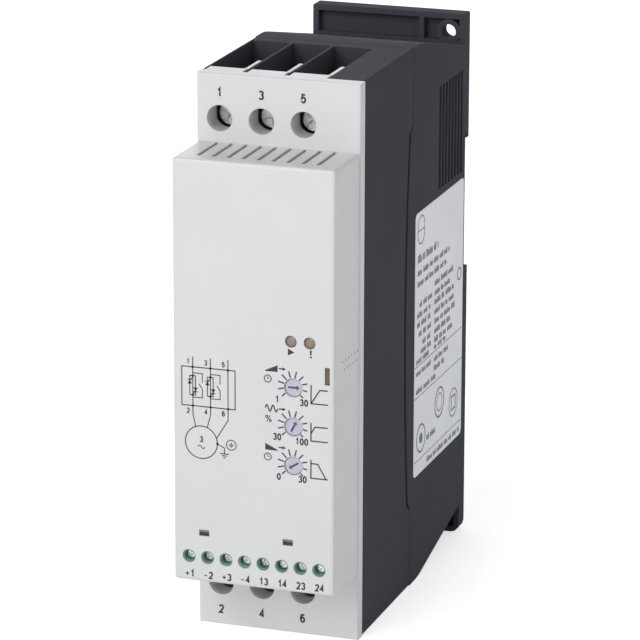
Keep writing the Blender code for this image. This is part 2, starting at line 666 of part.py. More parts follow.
def make_rear_housing(material):
    """Black sleeve over the heat sink, with side vents, end vents and four screw bosses."""
    reach = HOUSING_BACK - SEAM_STEP - SEAM_BOW - SEAM_RAMP
    inner = WIDTH / 2 - REAR_WALL
    sleeve = shape(lambda b: add_prism(b, tapered_outline(0, reach, REAR_BACK), "X", LEFT, RIGHT))
    housing = to_object("rear_housing", sleeve, material)

    def hollow(b):
        outline = tapered_outline(REAR_WALL, reach - OVERSHOOT, REAR_BACK + OVERSHOOT)
        add_prism(b, outline, "X", -inner, inner)

    def front_trim(b):
        edge = seam_curve(SEAM_SHADOW)
        low, high = edge[0][1], edge[-1][1]
        seat = HOUSING_BACK + GAP
        outline = [(reach - OVERSHOOT, -OVERSHOOT), (seat, -OVERSHOOT), (seat, low + GAP)]
        outline += [(y, z) for y, z in edge[1:-1]]
        outline += [(seat, high - GAP), (seat, HEIGHT + OVERSHOOT), (reach - OVERSHOOT, HEIGHT + OVERSHOOT)]
        add_prism(b, outline, "X", LEFT - OVERSHOOT, RIGHT + OVERSHOOT)

    lip_outer = min(inner, WIDTH / 2 - HOUSING_WALL) - GAP
    lip_end = CHAMBER_DEPTH + HOUSING_WALL + LIP_THICKNESS

    def lips(b):
        # inner edges that close the open line between the two side walls
        for side in (-1, 1):
            x = sorted((side * lip_outer, side * (lip_outer - LIP_THICKNESS)))
            y = (HOUSING_BACK - LIP_REACH, HOUSING_BACK + LIP_REACH / 2)
            add_box(b, x, y, (lip_end, HEIGHT - lip_end))

    def lip_roots(b):
        for side in (-1, 1):
            x = sorted((side * (lip_outer - LIP_THICKNESS / 2), side * (inner + REAR_WALL / 2)))
            y = (HOUSING_BACK + GAP, HOUSING_BACK + LIP_REACH / 2 - GAP)
            add_box(b, x, y, (lip_end + GAP, HEIGHT - lip_end - GAP))

    def side_vents(b):
        half = SIDE_VENT_WIDTH / 2
        for i in range(SIDE_VENT_COUNT):
            y = BACK - SIDE_VENT_LAST - i * SIDE_VENT_PITCH
            z = between(True, *SIDE_VENT_INSETS)
            add_box(b, (LEFT - OVERSHOOT, RIGHT + OVERSHOOT), (y - half, y + half), z)

    def end_vents(b):
        pitch = (WIDTH - 2 * END_VENT_MARGIN) / (END_VENT_COUNT - 1)
        half = END_VENT_WIDTH / 2
        y = [BACK - run for run in END_VENT_RUN]
        for i in range(END_VENT_COUNT):
            x = LEFT + END_VENT_MARGIN + i * pitch
            add_box(b, (x - half, x + half), y, (-OVERSHOOT, HEIGHT + OVERSHOOT))

    def bosses(b):
        for x, z in base_screw_places():
            add_cylinder(b, x, z, BOSS_RADIUS, (REAR_BACK - BOSS_LENGTH, REAR_BACK), 16)

    def boss_roots(b):
        # webs that tie the bosses to the sloping ends
        wall = taper_rise(REAR_BACK) + REAR_WALL / 2
        half = BOSS_RADIUS * math.sqrt(0.5)
        y = (REAR_BACK - BOSS_LENGTH + GAP, REAR_BACK)
        for x, z in base_screw_places():
            end = from_end(z > HEIGHT / 2, wall)
            add_box(b, (x - half, x + half), y, sorted((end, z)))

    def pilot_holes(b):
        for x, z in base_screw_places():
            y = (REAR_BACK - BOSS_LENGTH + WEB, REAR_BACK + OVERSHOOT)
            add_cylinder(b, x, z, BASE_SCREW_RADIUS + GAP / 2, y, 16)

    cut(housing, hollow, front_trim)
    join(housing, lips, lip_roots)
    cut(housing, side_vents, end_vents)
    join(housing, bosses, boss_roots)
    cut(housing, pilot_holes)
    return housing


def rounded_rectangle(x, z, radii, steps=3):
    """Outline of a rectangle with round corners, of one radius above and another below."""
    points = []
    upper, lower = radii
    corners = (
        (x[1] - upper, z[1] - upper, upper),
        (x[0] + upper, z[1] - upper, upper),
        (x[0] + lower, z[0] + lower, lower),
        (x[1] - lower, z[0] + lower, lower),
    )
    for corner, (mx, mz, radius) in enumerate(corners):
        for i in range(steps + 1):
            angle = (corner + i / steps) * math.pi / 2
            points.append((mx + radius * math.cos(angle), mz + radius * math.sin(angle)))
    return points


def mount_hole_places():
    """Middle of each screw hole in the back plate's ears, on a diagonal."""
    side, end = MOUNT_HOLE_INSETS
    return [(RIGHT - side, HEIGHT - PLATE_INSET - end), (LEFT + side, end)]


def make_mounting_base(material):
    """Black back plate: rail recess with its fixed hook, latch guide, ears with screw holes."""
    half, top = WIDTH / 2 - PLATE_INSET, HEIGHT - PLATE_INSET
    outline = rounded_rectangle((-half, half), (0, top), PLATE_CORNERS)
    plate = shape(lambda b: add_prism(b, outline, "Y", PLATE_FRONT, BACK))
    base = to_object("mounting_base", plate, material)
    recess = (PLATE_FRONT - OVERSHOOT, PLATE_FRONT + EAR_RECESS)
    guide = LATCH_WIDTH / 2 + LATCH_CLEARANCE
    flange = guide + LATCH_FLANGE
    past_back = BACK + OVERSHOOT

    def ear_trays(b):
        inner = half - EAR_RIM
        add_box(b, (-inner, inner), recess, (top - EAR_HEIGHT, top - EAR_RIM))
        for x in ((-inner, -flange - EAR_RIM), (flange + EAR_RIM, inner)):
            add_box(b, x, recess, (EAR_RIM, EAR_HEIGHT))

    def ear_bosses(b):
        for x, z in mount_hole_places():
            add_cylinder(b, x, z, MOUNT_BOSS_RADIUS, (PLATE_FRONT, PLATE_FRONT + EAR_RECESS + EAR_RIM / 2))

    def ear_rib(b):
        middle = RIGHT - EAR_RIB_INSET
        x = (middle - EAR_RIB / 2, middle + EAR_RIB / 2)
        z = (top - EAR_HEIGHT - EAR_RIM / 2, top - EAR_RIM / 2)
        add_box(b, x, (PLATE_FRONT, PLATE_FRONT + EAR_RECESS + EAR_RIM / 2), z)

    def mount_holes(b):
        for x, z in mount_hole_places():
            add_cylinder(b, x, z, MOUNT_HOLE_RADIUS, (PLATE_FRONT - OVERSHOOT, past_back))

    def rail_recess(b):
        add_box(b, (LEFT - OVERSHOOT, RIGHT + OVERSHOOT), (RAIL_SEAT, past_back), RAIL_WINDOW)

    def hook_undercut(b):
        y = (RAIL_SEAT, RAIL_SEAT + RAIL_FLANGE + LATCH_CLEARANCE)
        z = (RAIL_WINDOW[1] - OVERSHOOT, RAIL_WINDOW[1] + RAIL_HOOK)
        add_box(b, (LEFT - OVERSHOOT, RIGHT + OVERSHOOT), y, z)

    def latch_guide(b):
        add_box(b, (-guide, guide), (RAIL_SEAT, past_back), (-OVERSHOOT, RAIL_WINDOW[0] + OVERSHOOT))

    def flange_grooves(b):
        y = (RAIL_SEAT, RAIL_SEAT + LATCH_BACK_INSET + LATCH_FLANGE_THICKNESS + LATCH_CLEARANCE)
        add_box(b, (-flange, flange), y, (-OVERSHOOT, RAIL_WINDOW[0] + OVERSHOOT))

    def spring_post(b):
        x = (-SPRING_POST_WIDTH / 2, SPRING_POST_WIDTH / 2)
        y = (RAIL_SEAT - WEB / 2, BACK - 2 * LATCH_BACK_INSET)
        add_box(b, x, y, (SPRING_POST_BOTTOM, SPRING_POST_BOTTOM + SPRING_POST_HEIGHT))

    def screw_holes(b):
        for x, z in base_screw_places():
            add_cylinder(b, x, z, BASE_SCREW_RADIUS + GAP, (PLATE_FRONT - OVERSHOOT, past_back), 16)

    def counterbores(b):
        for x, z in base_screw_places():
            y = (BACK - BASE_SCREW_HEAD - GAP, past_back)
            add_cylinder(b, x, z, BASE_SCREW_HEAD_RADIUS + GAP, y, 20)

    cut(base, ear_trays)
    join(base, ear_bosses, ear_rib)
    cut(base, mount_holes, rail_recess, hook_undercut, latch_guide, flange_grooves)
    join(base, spring_post)
    cut(base, screw_holes, counterbores)
    return base


def make_din_latch(material):
    """Sprung foot: a flanged slide whose nose hooks behind the rail's lower edge."""
    front, back = RAIL_SEAT + LATCH_BACK_INSET, BACK - LATCH_BACK_INSET
    rail_edge = RAIL_WINDOW[1] + RAIL_HOOK - LATCH_BACK_INSET - RAIL_HEIGHT
    lip = RAIL_SEAT + RAIL_FLANGE + LATCH_CLEARANCE
    nose = rail_edge + RAIL_HOOK - LATCH_BACK_INSET
    outline = [
        (front, LATCH_BOTTOM),
        (back, LATCH_BOTTOM),
        (back, rail_edge - RAIL_HOOK),
        (lip + GAP, nose),
        (lip, nose),
        (lip, rail_edge - LATCH_BACK_INSET),
        (front, rail_edge - LATCH_BACK_INSET),
    ]
    half = LATCH_WIDTH / 2
    latch = to_object("din_latch", shape(lambda b: add_prism(b, outline, "X", -half, half)), material)

    def flanges(b):
        x = (-half - LATCH_FLANGE, half + LATCH_FLANGE)
        add_box(b, x, (front, front + LATCH_FLANGE_THICKNESS), (LATCH_BOTTOM, RAIL_WINDOW[0] - WEB))

    def spring_window(b):
        x = SPRING_POST_WIDTH / 2 + GAP
        z = (SPRING_POST_BOTTOM - GAP, spring_bottom() + SPRING_LENGTH + GAP)
        add_box(b, (-x, x), (front - OVERSHOOT, back + OVERSHOOT), z)

    def pull_slot(b):
        width, height = PULL_SLOT
        z = LATCH_BOTTOM + PULL_SLOT_BOTTOM
        add_box(b, (-width / 2, width / 2), (front - OVERSHOOT, back + OVERSHOOT), (z, z + height))

    join(latch, flanges)
    cut(latch, spring_window, pull_slot)
    return latch


def spring_bottom():
    """Height of the spring's fixed end, which stands on the back plate's post."""
    return SPRING_POST_BOTTOM + SPRING_POST_HEIGHT + GAP


def make_latch_spring(material, steps=12, sides=6):
    """Round-wire compression spring that pushes the latch up."""
    bm = bmesh.new()
    middle = (RAIL_SEAT + BACK) / 2
    low = spring_bottom() + SPRING_WIRE_RADIUS
    rise = SPRING_LENGTH - 2 * SPRING_WIRE_RADIUS
    count = SPRING_TURNS * steps
    rings = []
    for i in range(count + 1):
        angle = 2 * math.pi * i / steps
        radial = Vector((math.cos(angle), math.sin(angle), 0))
        centre = Vector((0, middle, low + rise * i / count)) + radial * SPRING_RADIUS
        ring = []
        for k in range(sides):
            spin = 2 * math.pi * k / sides
            offset = radial * math.cos(spin) + Vector((0, 0, 1)) * math.sin(spin)
            ring.append(bm.verts.new(centre + offset * SPRING_WIRE_RADIUS))
        rings.append(ring)
    for a, b in zip(rings, rings[1:]):
        for k in range(sides):
            n = (k + 1) % sides
            bm.faces.new((a[k], a[n], b[n], b[k]))
    bm.faces.new(rings[0])
    bm.faces.new(rings[-1])
    return to_object("latch_spring", bm, material)


def cross_outline(arm, width):
    """A plus sign, for a screwdriver recess."""
    a, w = arm / 2, width / 2
    quarter = [(a, -w), (a, w), (w, w)]
    turned = [(-z, x) for x, z in quarter]
    return quarter + turned + [(-x, -z) for x, z in quarter + turned]


def make_screw(name, material, place, head, shank, recess, angle=0.0, sides=CYLINDER_SIDES, away=1):
    """A screw on the Y axis with a combined slot and cross. away is -1 when its head faces +Y."""
    head_radius, head_height = head
    shank_radius, shank_length = shank
    arm, width, depth = recess
    edge = head_height / 6
    profile = [
        (head_radius - edge, 0),
        (head_radius, away * edge),
        (head_radius, away * head_height),
        (shank_radius, away * head_height),
        (shank_radius, away * (head_height + shank_length - shank_radius / 3)),
        (shank_radius * 2 / 3, away * (head_height + shank_length)),
    ]
    screw = to_object(name, shape(lambda b: add_turned(b, profile, sides)), material, place)
    screw.rotation_euler = (0, math.radians(angle), 0)
    outside = -away * OVERSHOOT
    reach = head_radius + OVERSHOOT

    def cross(b):
        add_prism(b, cross_outline(arm, width), "Y", *sorted((outside, away * depth)))

    def slot(b):
        add_box(b, (-reach, reach), sorted((outside, away * depth / 2)), (-width / 2, width / 2))

    cut(screw, cross, slot)
    return screw


def end_name(upper):
    return "line" if upper else "load"


def make_power_screw(i, upper, material):
    """Screw of one power terminal, seen at the bottom of its well."""
    place = (pole_x(i), SCREW_HEAD_FRONT, from_end(upper, SCREW_INSET))
    head = (SCREW_HEAD_RADIUS, SCREW_HEAD_HEIGHT)
    recess = (SCREW_HEAD_RADIUS * 1.4, SCREW_HEAD_HEIGHT * 0.36, SCREW_HEAD_HEIGHT * 0.6)
    name = f"{end_name(upper)}_screw_{i + 1}"
    shank = (SCREW_SHANK_RADIUS, SCREW_LENGTH)
    return make_screw(name, material, place, head, shank, recess, SCREW_ANGLES[i])


def make_power_clamp(i, upper, material):
    """Box clamp that the screw draws forwards, so that its back wall presses the cable on the bar."""
    middle = from_end(upper, SCREW_INSET)
    x = (-CAGE_WIDTH / 2, CAGE_WIDTH / 2)
    z = (-CAGE_HEIGHT / 2, CAGE_HEIGHT / 2)
    length = CAGE_BACK - CAGE_FRONT
    bm = shape(lambda b: add_box(b, x, (0, length), z))
    round_edges(bm, CAGE_WALL / 2, along(2))
    clamp = to_object(f"{end_name(upper)}_clamp_{i + 1}", bm, material, (pole_x(i), CAGE_FRONT, middle))

    def mouth(b):
        inner = CAGE_WIDTH / 2 - CAGE_WALL
        add_box(
            b,
            (-inner, inner),
            (CAGE_FRONT_WALL, length - CAGE_BACK_WALL),
            (z[0] - OVERSHOOT, z[1] + OVERSHOOT),
        )

    def screw_hole(b):
        radius = SCREW_SHANK_RADIUS + GAP / 2
        add_cylinder(b, 0, 0, radius, (-OVERSHOOT, CAGE_FRONT_WALL + OVERSHOOT))

    cut(clamp, mouth, screw_hole)
    return clamp


def make_busbar(i, upper, material):
    """Bent copper bar from a clamp to the power board."""
    tip = from_end(upper, BAR_TIP_INSET)
    turn = from_end(upper, BAR_TURN_INSET)
    thick = math.copysign(BAR_THICKNESS, tip - turn)
    board = FRONT + POWER_BOARD_Y - GAP
    bend = [math.radians(90 * k / 3) for k in range(4)]
    outer, inner = 2 * BAR_THICKNESS, BAR_THICKNESS
    centre = (BAR_FRONT + outer, turn + 2 * thick)
    outline = [(BAR_BACK, tip), (BAR_FRONT, tip)]
    outline += [(centre[0] - outer * math.cos(a), centre[1] - 2 * thick * math.sin(a)) for a in bend]
    outline += [(board, turn), (board, turn + thick)]
    outline += [(centre[0] - inner * math.cos(a), centre[1] - thick * math.sin(a)) for a in reversed(bend)]
    x = (pole_x(i) - BAR_WIDTH / 2, pole_x(i) + BAR_WIDTH / 2)
    name = f"{end_name(upper)}_busbar_{i + 1}"
    return to_object(name, shape(lambda b: add_prism(b, outline, "X", *x)), material)


def control_block_limits():
    """Depth and height of the control terminal block."""
    y = (FRONT + COVER_WALL + GAP, FRONT + CONTROL_BOARD_Y - GAP)
    low = BLOCK_BOTTOM + COVER_WALL + GAP
    return y, (low, low + CONTROL_BLOCK_HEIGHT)


def make_control_terminal_block(material):
    """Green strip with a screw tube behind each small hole and a wire entry below it."""
    y, z = control_block_limits()
    margin = CONTROL_PITCH / 2 - 2 * GAP
    bm = shape(lambda b: add_box(b, (control_x(0) - margin, control_x(CONTROL_COUNT - 1) + margin), y, z))
    block = to_object("control_terminal_block", bm, material)
    tube = CONTROL_HOLE_RADIUS - CONTROL_TUBE_GAP
    head_room = FRONT + CONTROL_SCREW_DEPTH + CONTROL_SCREW_HEAD + GAP
    shank_end = FRONT + CONTROL_SCREW_DEPTH + CONTROL_SCREW_HEAD + CONTROL_SCREW_LENGTH + GAP

    def tubes(b):
        for i in range(CONTROL_COUNT):
            add_cylinder(b, control_x(i), CONTROL_HEIGHT, tube, (FRONT + GAP, y[0] + WEB), 20)

    def wells(b):
        for i in range(CONTROL_COUNT):
            radius = tube - CONTROL_TUBE_WALL
            add_cylinder(b, control_x(i), CONTROL_HEIGHT, radius, (FRONT - OVERSHOOT, head_room), 20)

    def shank_holes(b):
        for i in range(CONTROL_COUNT):
            radius = CONTROL_SCREW_SHANK + GAP
            add_cylinder(b, control_x(i), CONTROL_HEIGHT, radius, (head_room - GAP, shank_end), 12)

    def wire_entries(b):
        half_width, half_depth = (side / 2 for side in WIRE_ENTRY)
        middle = FRONT + WIRE_ENTRY_Y
        for i in range(CONTROL_COUNT):
            add_box(
                b,
                (control_x(i) - half_width, control_x(i) + half_width),
                (middle - half_depth, middle + half_depth),
                (z[0] - OVERSHOOT, CONTROL_HEIGHT + CONTROL_SCREW_RADIUS),
            )

    join(block, tubes)
    cut(block, wells, shank_holes, wire_entries)
    return block


def make_control_screw(i, material):
    """Small screw at the bottom of a green tube."""
    place = (control_x(i), FRONT + CONTROL_SCREW_DEPTH, CONTROL_HEIGHT)
    head = (CONTROL_SCREW_RADIUS, CONTROL_SCREW_HEAD)
    recess = (CONTROL_SCREW_RADIUS * 1.3, CONTROL_SCREW_RADIUS * 0.34, CONTROL_SCREW_HEAD * 0.5)
    shank = (CONTROL_SCREW_SHANK, CONTROL_SCREW_LENGTH)
    return make_screw(f"control_screw_{i + 1}", material, place, head, shank, recess, 40.0 * i, 16)


def make_dial(name, z, angle, material):
    """Setting dial: a thin disc with a sunk arrow, on a shaft that turns in the potentiometer."""
    pot_front = CONTROL_BOARD_Y - GAP - POT_DEPTH
    length = pot_front + POT_SOCKET - GAP - DIAL_FACE
    edge = GAP / 2
    profile = [
        (DIAL_RADIUS - edge, 0),
        (DIAL_RADIUS, edge),
        (DIAL_RADIUS, DIAL_THICKNESS),
        (DIAL_SHAFT_RADIUS, DIAL_THICKNESS),
        (DIAL_SHAFT_RADIUS, length),
    ]
    place = (RIGHT - DIAL_INSET, FRONT + DIAL_FACE, z)
    dial = to_object(name, shape(lambda b: add_turned(b, profile)), material, place)
    dial.rotation_euler = (0, -math.radians(angle), 0)

    def arrow(b):
        tip, slot, barb = ARROW_LENGTH / 2, ARROW_SLOT / 2, ARROW_HEAD / 2
        neck = tip - barb
        lower = [(-tip, -slot), (neck, -slot), (neck, -barb)]
        outline = lower + [(tip, 0)] + [(x, -z) for x, z in reversed(lower)]
        add_prism(b, outline, "Y", -OVERSHOOT, ARROW_DEPTH)

    cut(dial, arrow)
    return dial


def make_pot(name, z, material):
    """Potentiometer body on the control board, with the socket for the dial's shaft."""
    half = POT_SIZE / 2
    back = FRONT + CONTROL_BOARD_Y - GAP
    front = back - POT_DEPTH
    x = RIGHT - DIAL_INSET
    bm = shape(lambda b: add_box(b, (x - half, x + half), (front, back), (z - half, z + half)))
    round_edges(bm, GAP, along(1), 1)
    pot = to_object(name, bm, material)
    radius = DIAL_SHAFT_RADIUS + GAP / 2
    cut(pot, lambda b: add_cylinder(b, x, z, radius, (front - OVERSHOOT, front + POT_SOCKET), 16))
    return pot


def make_led(name, inset, material):
    """Indicator lamp: a flush light pipe that stands on the control board."""
    face = DIAL_FACE / 2
    length = CONTROL_BOARD_Y - GAP - face
    flange = (COVER_WALL + GAP, COVER_WALL + GAP + LED_RADIUS)
    profile = [
        (0, 0),
        (LED_RADIUS * 0.6, face / 4),
        (LED_RADIUS, face),
        (LED_RADIUS, flange[0]),
        (LED_RADIUS + 2 * GAP, flange[0]),
        (LED_RADIUS + 2 * GAP, flange[1]),
        (LED_RADIUS, flange[1]),
        (LED_RADIUS, length),
    ]
    place = (RIGHT - inset, FRONT + face, LED_HEIGHT)
    return to_object(name, shape(lambda b: add_turned(b, profile, 16)), material, place)


def make_board(name, y, insets, material):
    """A circuit board parallel to the control face."""
    half = WIDTH / 2 - BOARD_SIDE_INSET
    z = (insets[0], HEIGHT - insets[1])
    bm = shape(lambda b: add_box(b, (-half, half), (FRONT + y, FRONT + y + BOARD_THICKNESS), z))
    return to_object(name, bm, material)


def make_relay(i, material):
    """Bypass relay on the front of the power board, the first one below."""
    side, end = RELAY_INSETS
    back = FRONT + POWER_BOARD_Y - GAP
    front = back - RELAY_DEPTH
    z = between(i > 0, end, HEIGHT / 2 - LINK_HEIGHT / 2 - RELAY_LINK_ROOM)
    bm = shape(lambda b: add_box(b, (LEFT + side, RIGHT - side), (front, back), z))
    round_edges(bm, COVER_EDGE_RADIUS, lambda p, q: max(p.y, q.y) < front + RELAY_DEPTH / 2)
    return to_object(f"bypass_relay_{i + 1}", bm, material)


def sink_front():
    """Face of the heat sink that carries the modules."""
    fins = FRONT + POWER_BOARD_Y + BOARD_THICKNESS + GAP
    return fins + 3 * MODULE_PIN + MODULE_DEPTH + GAP


def make_module(i, material):
    """Thyristor module screwed to the heat sink, with its pins in the power board, the first one below."""
    side, end = MODULE_INSETS
    back = sink_front() - GAP
    front = back - MODULE_DEPTH
    z = between(i > 0, end, (HEIGHT - MODULE_ROOM) / 2)
    bm = shape(lambda b: add_box(b, (LEFT + side, RIGHT - side), (front, back), z))
    round_edges(bm, COVER_EDGE_RADIUS, lambda p, q: max(p.y, q.y) < front + MODULE_DEPTH / 2, 1)
    module = to_object(f"thyristor_module_{i + 1}", bm, material)
    middle = sum(z) / 2

    def pins(b):
        half = MODULE_PIN / 2
        y = (front - 3 * MODULE_PIN, front + MODULE_PIN)
        for k in (-1, 0, 1):
            x = k * POLE_PITCH
            add_box(b, (x - half, x + half), y, (middle - MODULE_PIN, middle + MODULE_PIN))

    def screw_notches(b):
        for x in (LEFT + side, RIGHT - side):
            add_cylinder(b, x, middle, 2 * MODULE_PIN, (front - OVERSHOOT, back + OVERSHOOT), 16)

    join(module, pins)
    cut(module, screw_notches)
    return module


def make_board_link(material):
    """Pin header that joins the two boards, a socket at each end."""
    middle = HEIGHT / 2
    x = (-LINK_WIDTH / 2, LINK_WIDTH / 2)
    z = (middle - LINK_HEIGHT / 2, middle + LINK_HEIGHT / 2)
    front = FRONT + CONTROL_BOARD_Y + BOARD_THICKNESS + GAP
    back = FRONT + POWER_BOARD_Y - GAP
    bm = shape(lambda b: add_box(b, x, (front, front + LINK_SOCKET), z))
    link = to_object("board_link", bm, material)

    def pins(b):
        pitch = LINK_WIDTH / LINK_PINS
        half = LINK_PIN / 2
        for k in range(LINK_PINS):
            pin = x[0] + (k + 0.5) * pitch
            y = (front + LINK_SOCKET - GAP, back - LINK_SOCKET + GAP)
            add_box(b, (pin - half, pin + half), y, (middle - half, middle + half))

    def back_socket(b):
        add_box(b, x, (back - LINK_SOCKET, back), z)

    join(link, pins, back_socket)
    return link


def make_heat_sink(material):
    """Extruded comb: a base for the modules and upright fins behind it."""
    half = WIDTH / 2 - REAR_WALL - SINK_SIDE_GAP
    front = sink_front()
    base, tip = front + SINK_BASE, PLATE_FRONT - GAP
    pitch = (2 * half - SINK_FIN_THICKNESS) / (SINK_FINS - 1)
    outline = [(half, front), (-half, front)]
    for i in range(SINK_FINS):
        x = -half + i * pitch
        outline += [(x, base), (x, tip), (x + SINK_FIN_THICKNESS, tip), (x + SINK_FIN_THICKNESS, base)]
    outline = outline[:2] + outline[3:-1]
    z = (SINK_END_INSET, HEIGHT - SINK_END_INSET)
    return to_object("heat_sink", shape(lambda b: add_prism(b, outline, "Z", *z)), material)


def make_base_screw(i, place, material):
    """Screw that holds the back plate to a boss of the rear housing."""
    x, z = place
    head = (BASE_SCREW_HEAD_RADIUS, BASE_SCREW_HEAD)
    recess = (BASE_SCREW_HEAD_RADIUS * 1.3, BASE_SCREW_HEAD * 0.5, BASE_SCREW_HEAD * 0.6)
    shank = (BASE_SCREW_RADIUS, BASE_SCREW_LENGTH)
    name = f"base_screw_{i + 1}"
    return make_screw(name, material, (x, BACK - GAP / 2, z), head, shank, recess, 30.0 * i, 16, away=-1)


def main():
    clear_scene()
    pale = make_material("pale_plastic", (0.78, 0.78, 0.79), 0.45)
    black = make_material("black_plastic", (0.03, 0.031, 0.035), 0.5)
    green = make_material("green_plastic", (0.06, 0.32, 0.16), 0.4)
    steel = make_material("plated_steel", (0.62, 0.62, 0.64), 0.3, 1.0)
    copper = make_material("plated_copper", (0.72, 0.45, 0.3), 0.35, 1.0)
    aluminium = make_material("aluminium", (0.7, 0.71, 0.72), 0.4, 1.0)
    board = make_material("circuit_board", (0.03, 0.16, 0.08), 0.5)
    dark_blue = make_material("component_plastic", (0.05, 0.06, 0.1), 0.45)
    lilac = make_material("dial_plastic", (0.5, 0.49, 0.62), 0.45)
    amber = make_material("lamp_plastic", (0.45, 0.36, 0.3), 0.25)

    make_front_cover(pale)
    make_terminal_housing(black)
    make_rear_housing(black)
    make_mounting_base(black)
    make_din_latch(black)
    make_latch_spring(steel)
    make_heat_sink(aluminium)
    for upper in (True, False):
        for i in range(POLE_COUNT):
            make_power_screw(i, upper, steel)
            make_power_clamp(i, upper, steel)
            make_busbar(i, upper, copper)
    make_control_terminal_block(green)
    for i in range(CONTROL_COUNT):
        make_control_screw(i, steel)
    for name, z, angle in zip(("start", "voltage", "stop"), DIAL_HEIGHTS, DIAL_ANGLES):
        make_dial(f"{name}_dial", z, angle, lilac)
        make_pot(f"{name}_pot", z, dark_blue)
    for name, inset in zip(("run_led", "error_led"), LED_INSETS):
        make_led(name, inset, amber)
    make_board("control_board", CONTROL_BOARD_Y, CONTROL_BOARD_INSETS, board)
    make_board("power_board", POWER_BOARD_Y, POWER_BOARD_INSETS, board)
    make_board_link(dark_blue)
    for i in range(2):
        make_relay(i, dark_blue)
        make_module(i, dark_blue)
    for i, place in enumerate(base_screw_places()):
        make_base_screw(i, place, steel)


main()
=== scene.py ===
"""Looks of the motor soft starter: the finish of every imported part, the print on its faces, the small parts
in the cover's openings, the latch's coil spring, the rating label, the studio light and the camera.

Places on the faces are in millimetres: across from the device's middle and up from its base on the front,
back from the middle of the depth and up on the side. MM turns them into Blender's metres.
"""

import json
import math
import random

import bmesh
import bpy
from mathutils import Matrix, Vector


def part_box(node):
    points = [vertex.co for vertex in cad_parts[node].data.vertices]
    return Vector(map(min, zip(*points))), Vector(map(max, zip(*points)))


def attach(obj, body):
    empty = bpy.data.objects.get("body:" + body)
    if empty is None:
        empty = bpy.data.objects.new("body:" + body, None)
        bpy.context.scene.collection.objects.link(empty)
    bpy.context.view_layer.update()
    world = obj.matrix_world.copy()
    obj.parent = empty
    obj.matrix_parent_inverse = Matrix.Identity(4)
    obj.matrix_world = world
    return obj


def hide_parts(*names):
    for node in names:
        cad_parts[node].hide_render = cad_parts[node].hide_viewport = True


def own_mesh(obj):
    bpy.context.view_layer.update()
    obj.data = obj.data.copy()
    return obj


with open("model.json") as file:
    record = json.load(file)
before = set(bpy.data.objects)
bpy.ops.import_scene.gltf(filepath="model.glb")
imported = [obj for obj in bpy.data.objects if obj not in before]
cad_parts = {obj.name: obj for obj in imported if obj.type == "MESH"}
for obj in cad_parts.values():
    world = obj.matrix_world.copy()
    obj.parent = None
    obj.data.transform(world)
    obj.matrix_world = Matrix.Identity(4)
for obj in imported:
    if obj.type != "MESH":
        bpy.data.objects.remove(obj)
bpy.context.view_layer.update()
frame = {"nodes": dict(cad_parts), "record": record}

MM = 0.001

# Camera, fitted to the photograph's edges: its place, its turns in degrees, its lens in millimetres
CAMERA_PLACE = (341.8, -1017.2, 386.3)
CAMERA_YAW = 18.66
CAMERA_PITCH = 16.12
CAMERA_ROLL = 0.17
CAMERA_LENS = 230.9
CAMERA_SENSOR = 36.0
CAMERA_CLIP = (0.05, 20.0)    # in metres


def limits(name):
    """Corners of a CAD node in millimetres."""
    low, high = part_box(name)
    return [v / MM for v in low], [v / MM for v in high]


def middle_across(name):
    """Place of a node's middle, from left to right."""
    low, high = limits(name)
    return (low[0] + high[0]) / 2


TERMINAL_SETBACK = 19.7    # of the terminals' face behind the control face
COVER_INSET = 0.3          # of the cover's side inside the housing's side
FRONT = limits("front_cover")[0][1]
SIDE = limits("rear_housing")[1][0]
DIALS = ("start_dial", "voltage_dial", "stop_dial")
DIAL_CENTRES = {name: sum(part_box(name), Vector()) / 2 / MM for name in DIALS}


# Materials

NOISE_SPAN = (0.3, 0.7)      # most values of a noise lie between these
PATCH_SPAN = (0.35, 0.65)    # between these a finish goes from its darker to its lighter shade
EDGE_SAMPLES = 4
# these set the painted shade that darkens the pale plastic in slots, wells and corners
RECESS_SAMPLES = 8
RECESS_REACH = 3.5           # how far away a face still shades a recess
RECESS_SPAN = (0.1, 0.42)    # open shares at which a recess is darkest, and no longer dark
RECESS_SHADE = 0.3           # of the colour, where it is darkest


def node_material(name, colour, roughness, metallic=0.0):
    """A Principled material, its node tree and its shader."""
    material = bpy.data.materials.new(name)
    material.use_nodes = True
    tree = material.node_tree
    shader = tree.nodes["Principled BSDF"]
    shader.inputs["Base Color"].default_value = (*colour, 1.0)
    shader.inputs["Roughness"].default_value = roughness
    shader.inputs["Metallic"].default_value = metallic
    return material, tree, shader


def object_place(tree):
    """Texture coordinates in the object's own space."""
    return tree.nodes.new("ShaderNodeTexCoord").outputs["Object"]


def noise(tree, place, scale, detail=3.0, roughness=0.5):
    """A noise pattern, scale in waves a metre."""
    node = tree.nodes.new("ShaderNodeTexNoise")
    node.inputs["Scale"].default_value = scale
    node.inputs["Detail"].default_value = detail
    node.inputs["Roughness"].default_value = roughness
    tree.links.new(place, node.inputs["Vector"])
    return node.outputs["Fac"]


def ramp(tree, value, stops):
    """Maps a value to the colours at its stops."""
    stops = list(stops)
    node = tree.nodes.new("ShaderNodeValToRGB")
    elements = node.color_ramp.elements
    while len(elements) < len(stops):
        elements.new(0.5)
    for element, (position, colour) in zip(elements, stops):
        element.position = position
        element.color = (*colour, 1.0)
    tree.links.new(value, node.inputs["Fac"])
    return node.outputs["Color"]


def spread(tree, value, low, high):
    """Maps the middle of a noise to the values from low to high."""
    node = tree.nodes.new("ShaderNodeMapRange")
    node.inputs["From Min"].default_value = NOISE_SPAN[0]
    node.inputs["From Max"].default_value = NOISE_SPAN[1]
    node.inputs["To Min"].default_value = low
    node.inputs["To Max"].default_value = high
    tree.links.new(value, node.inputs["Value"])
    return node.outputs["Result"]


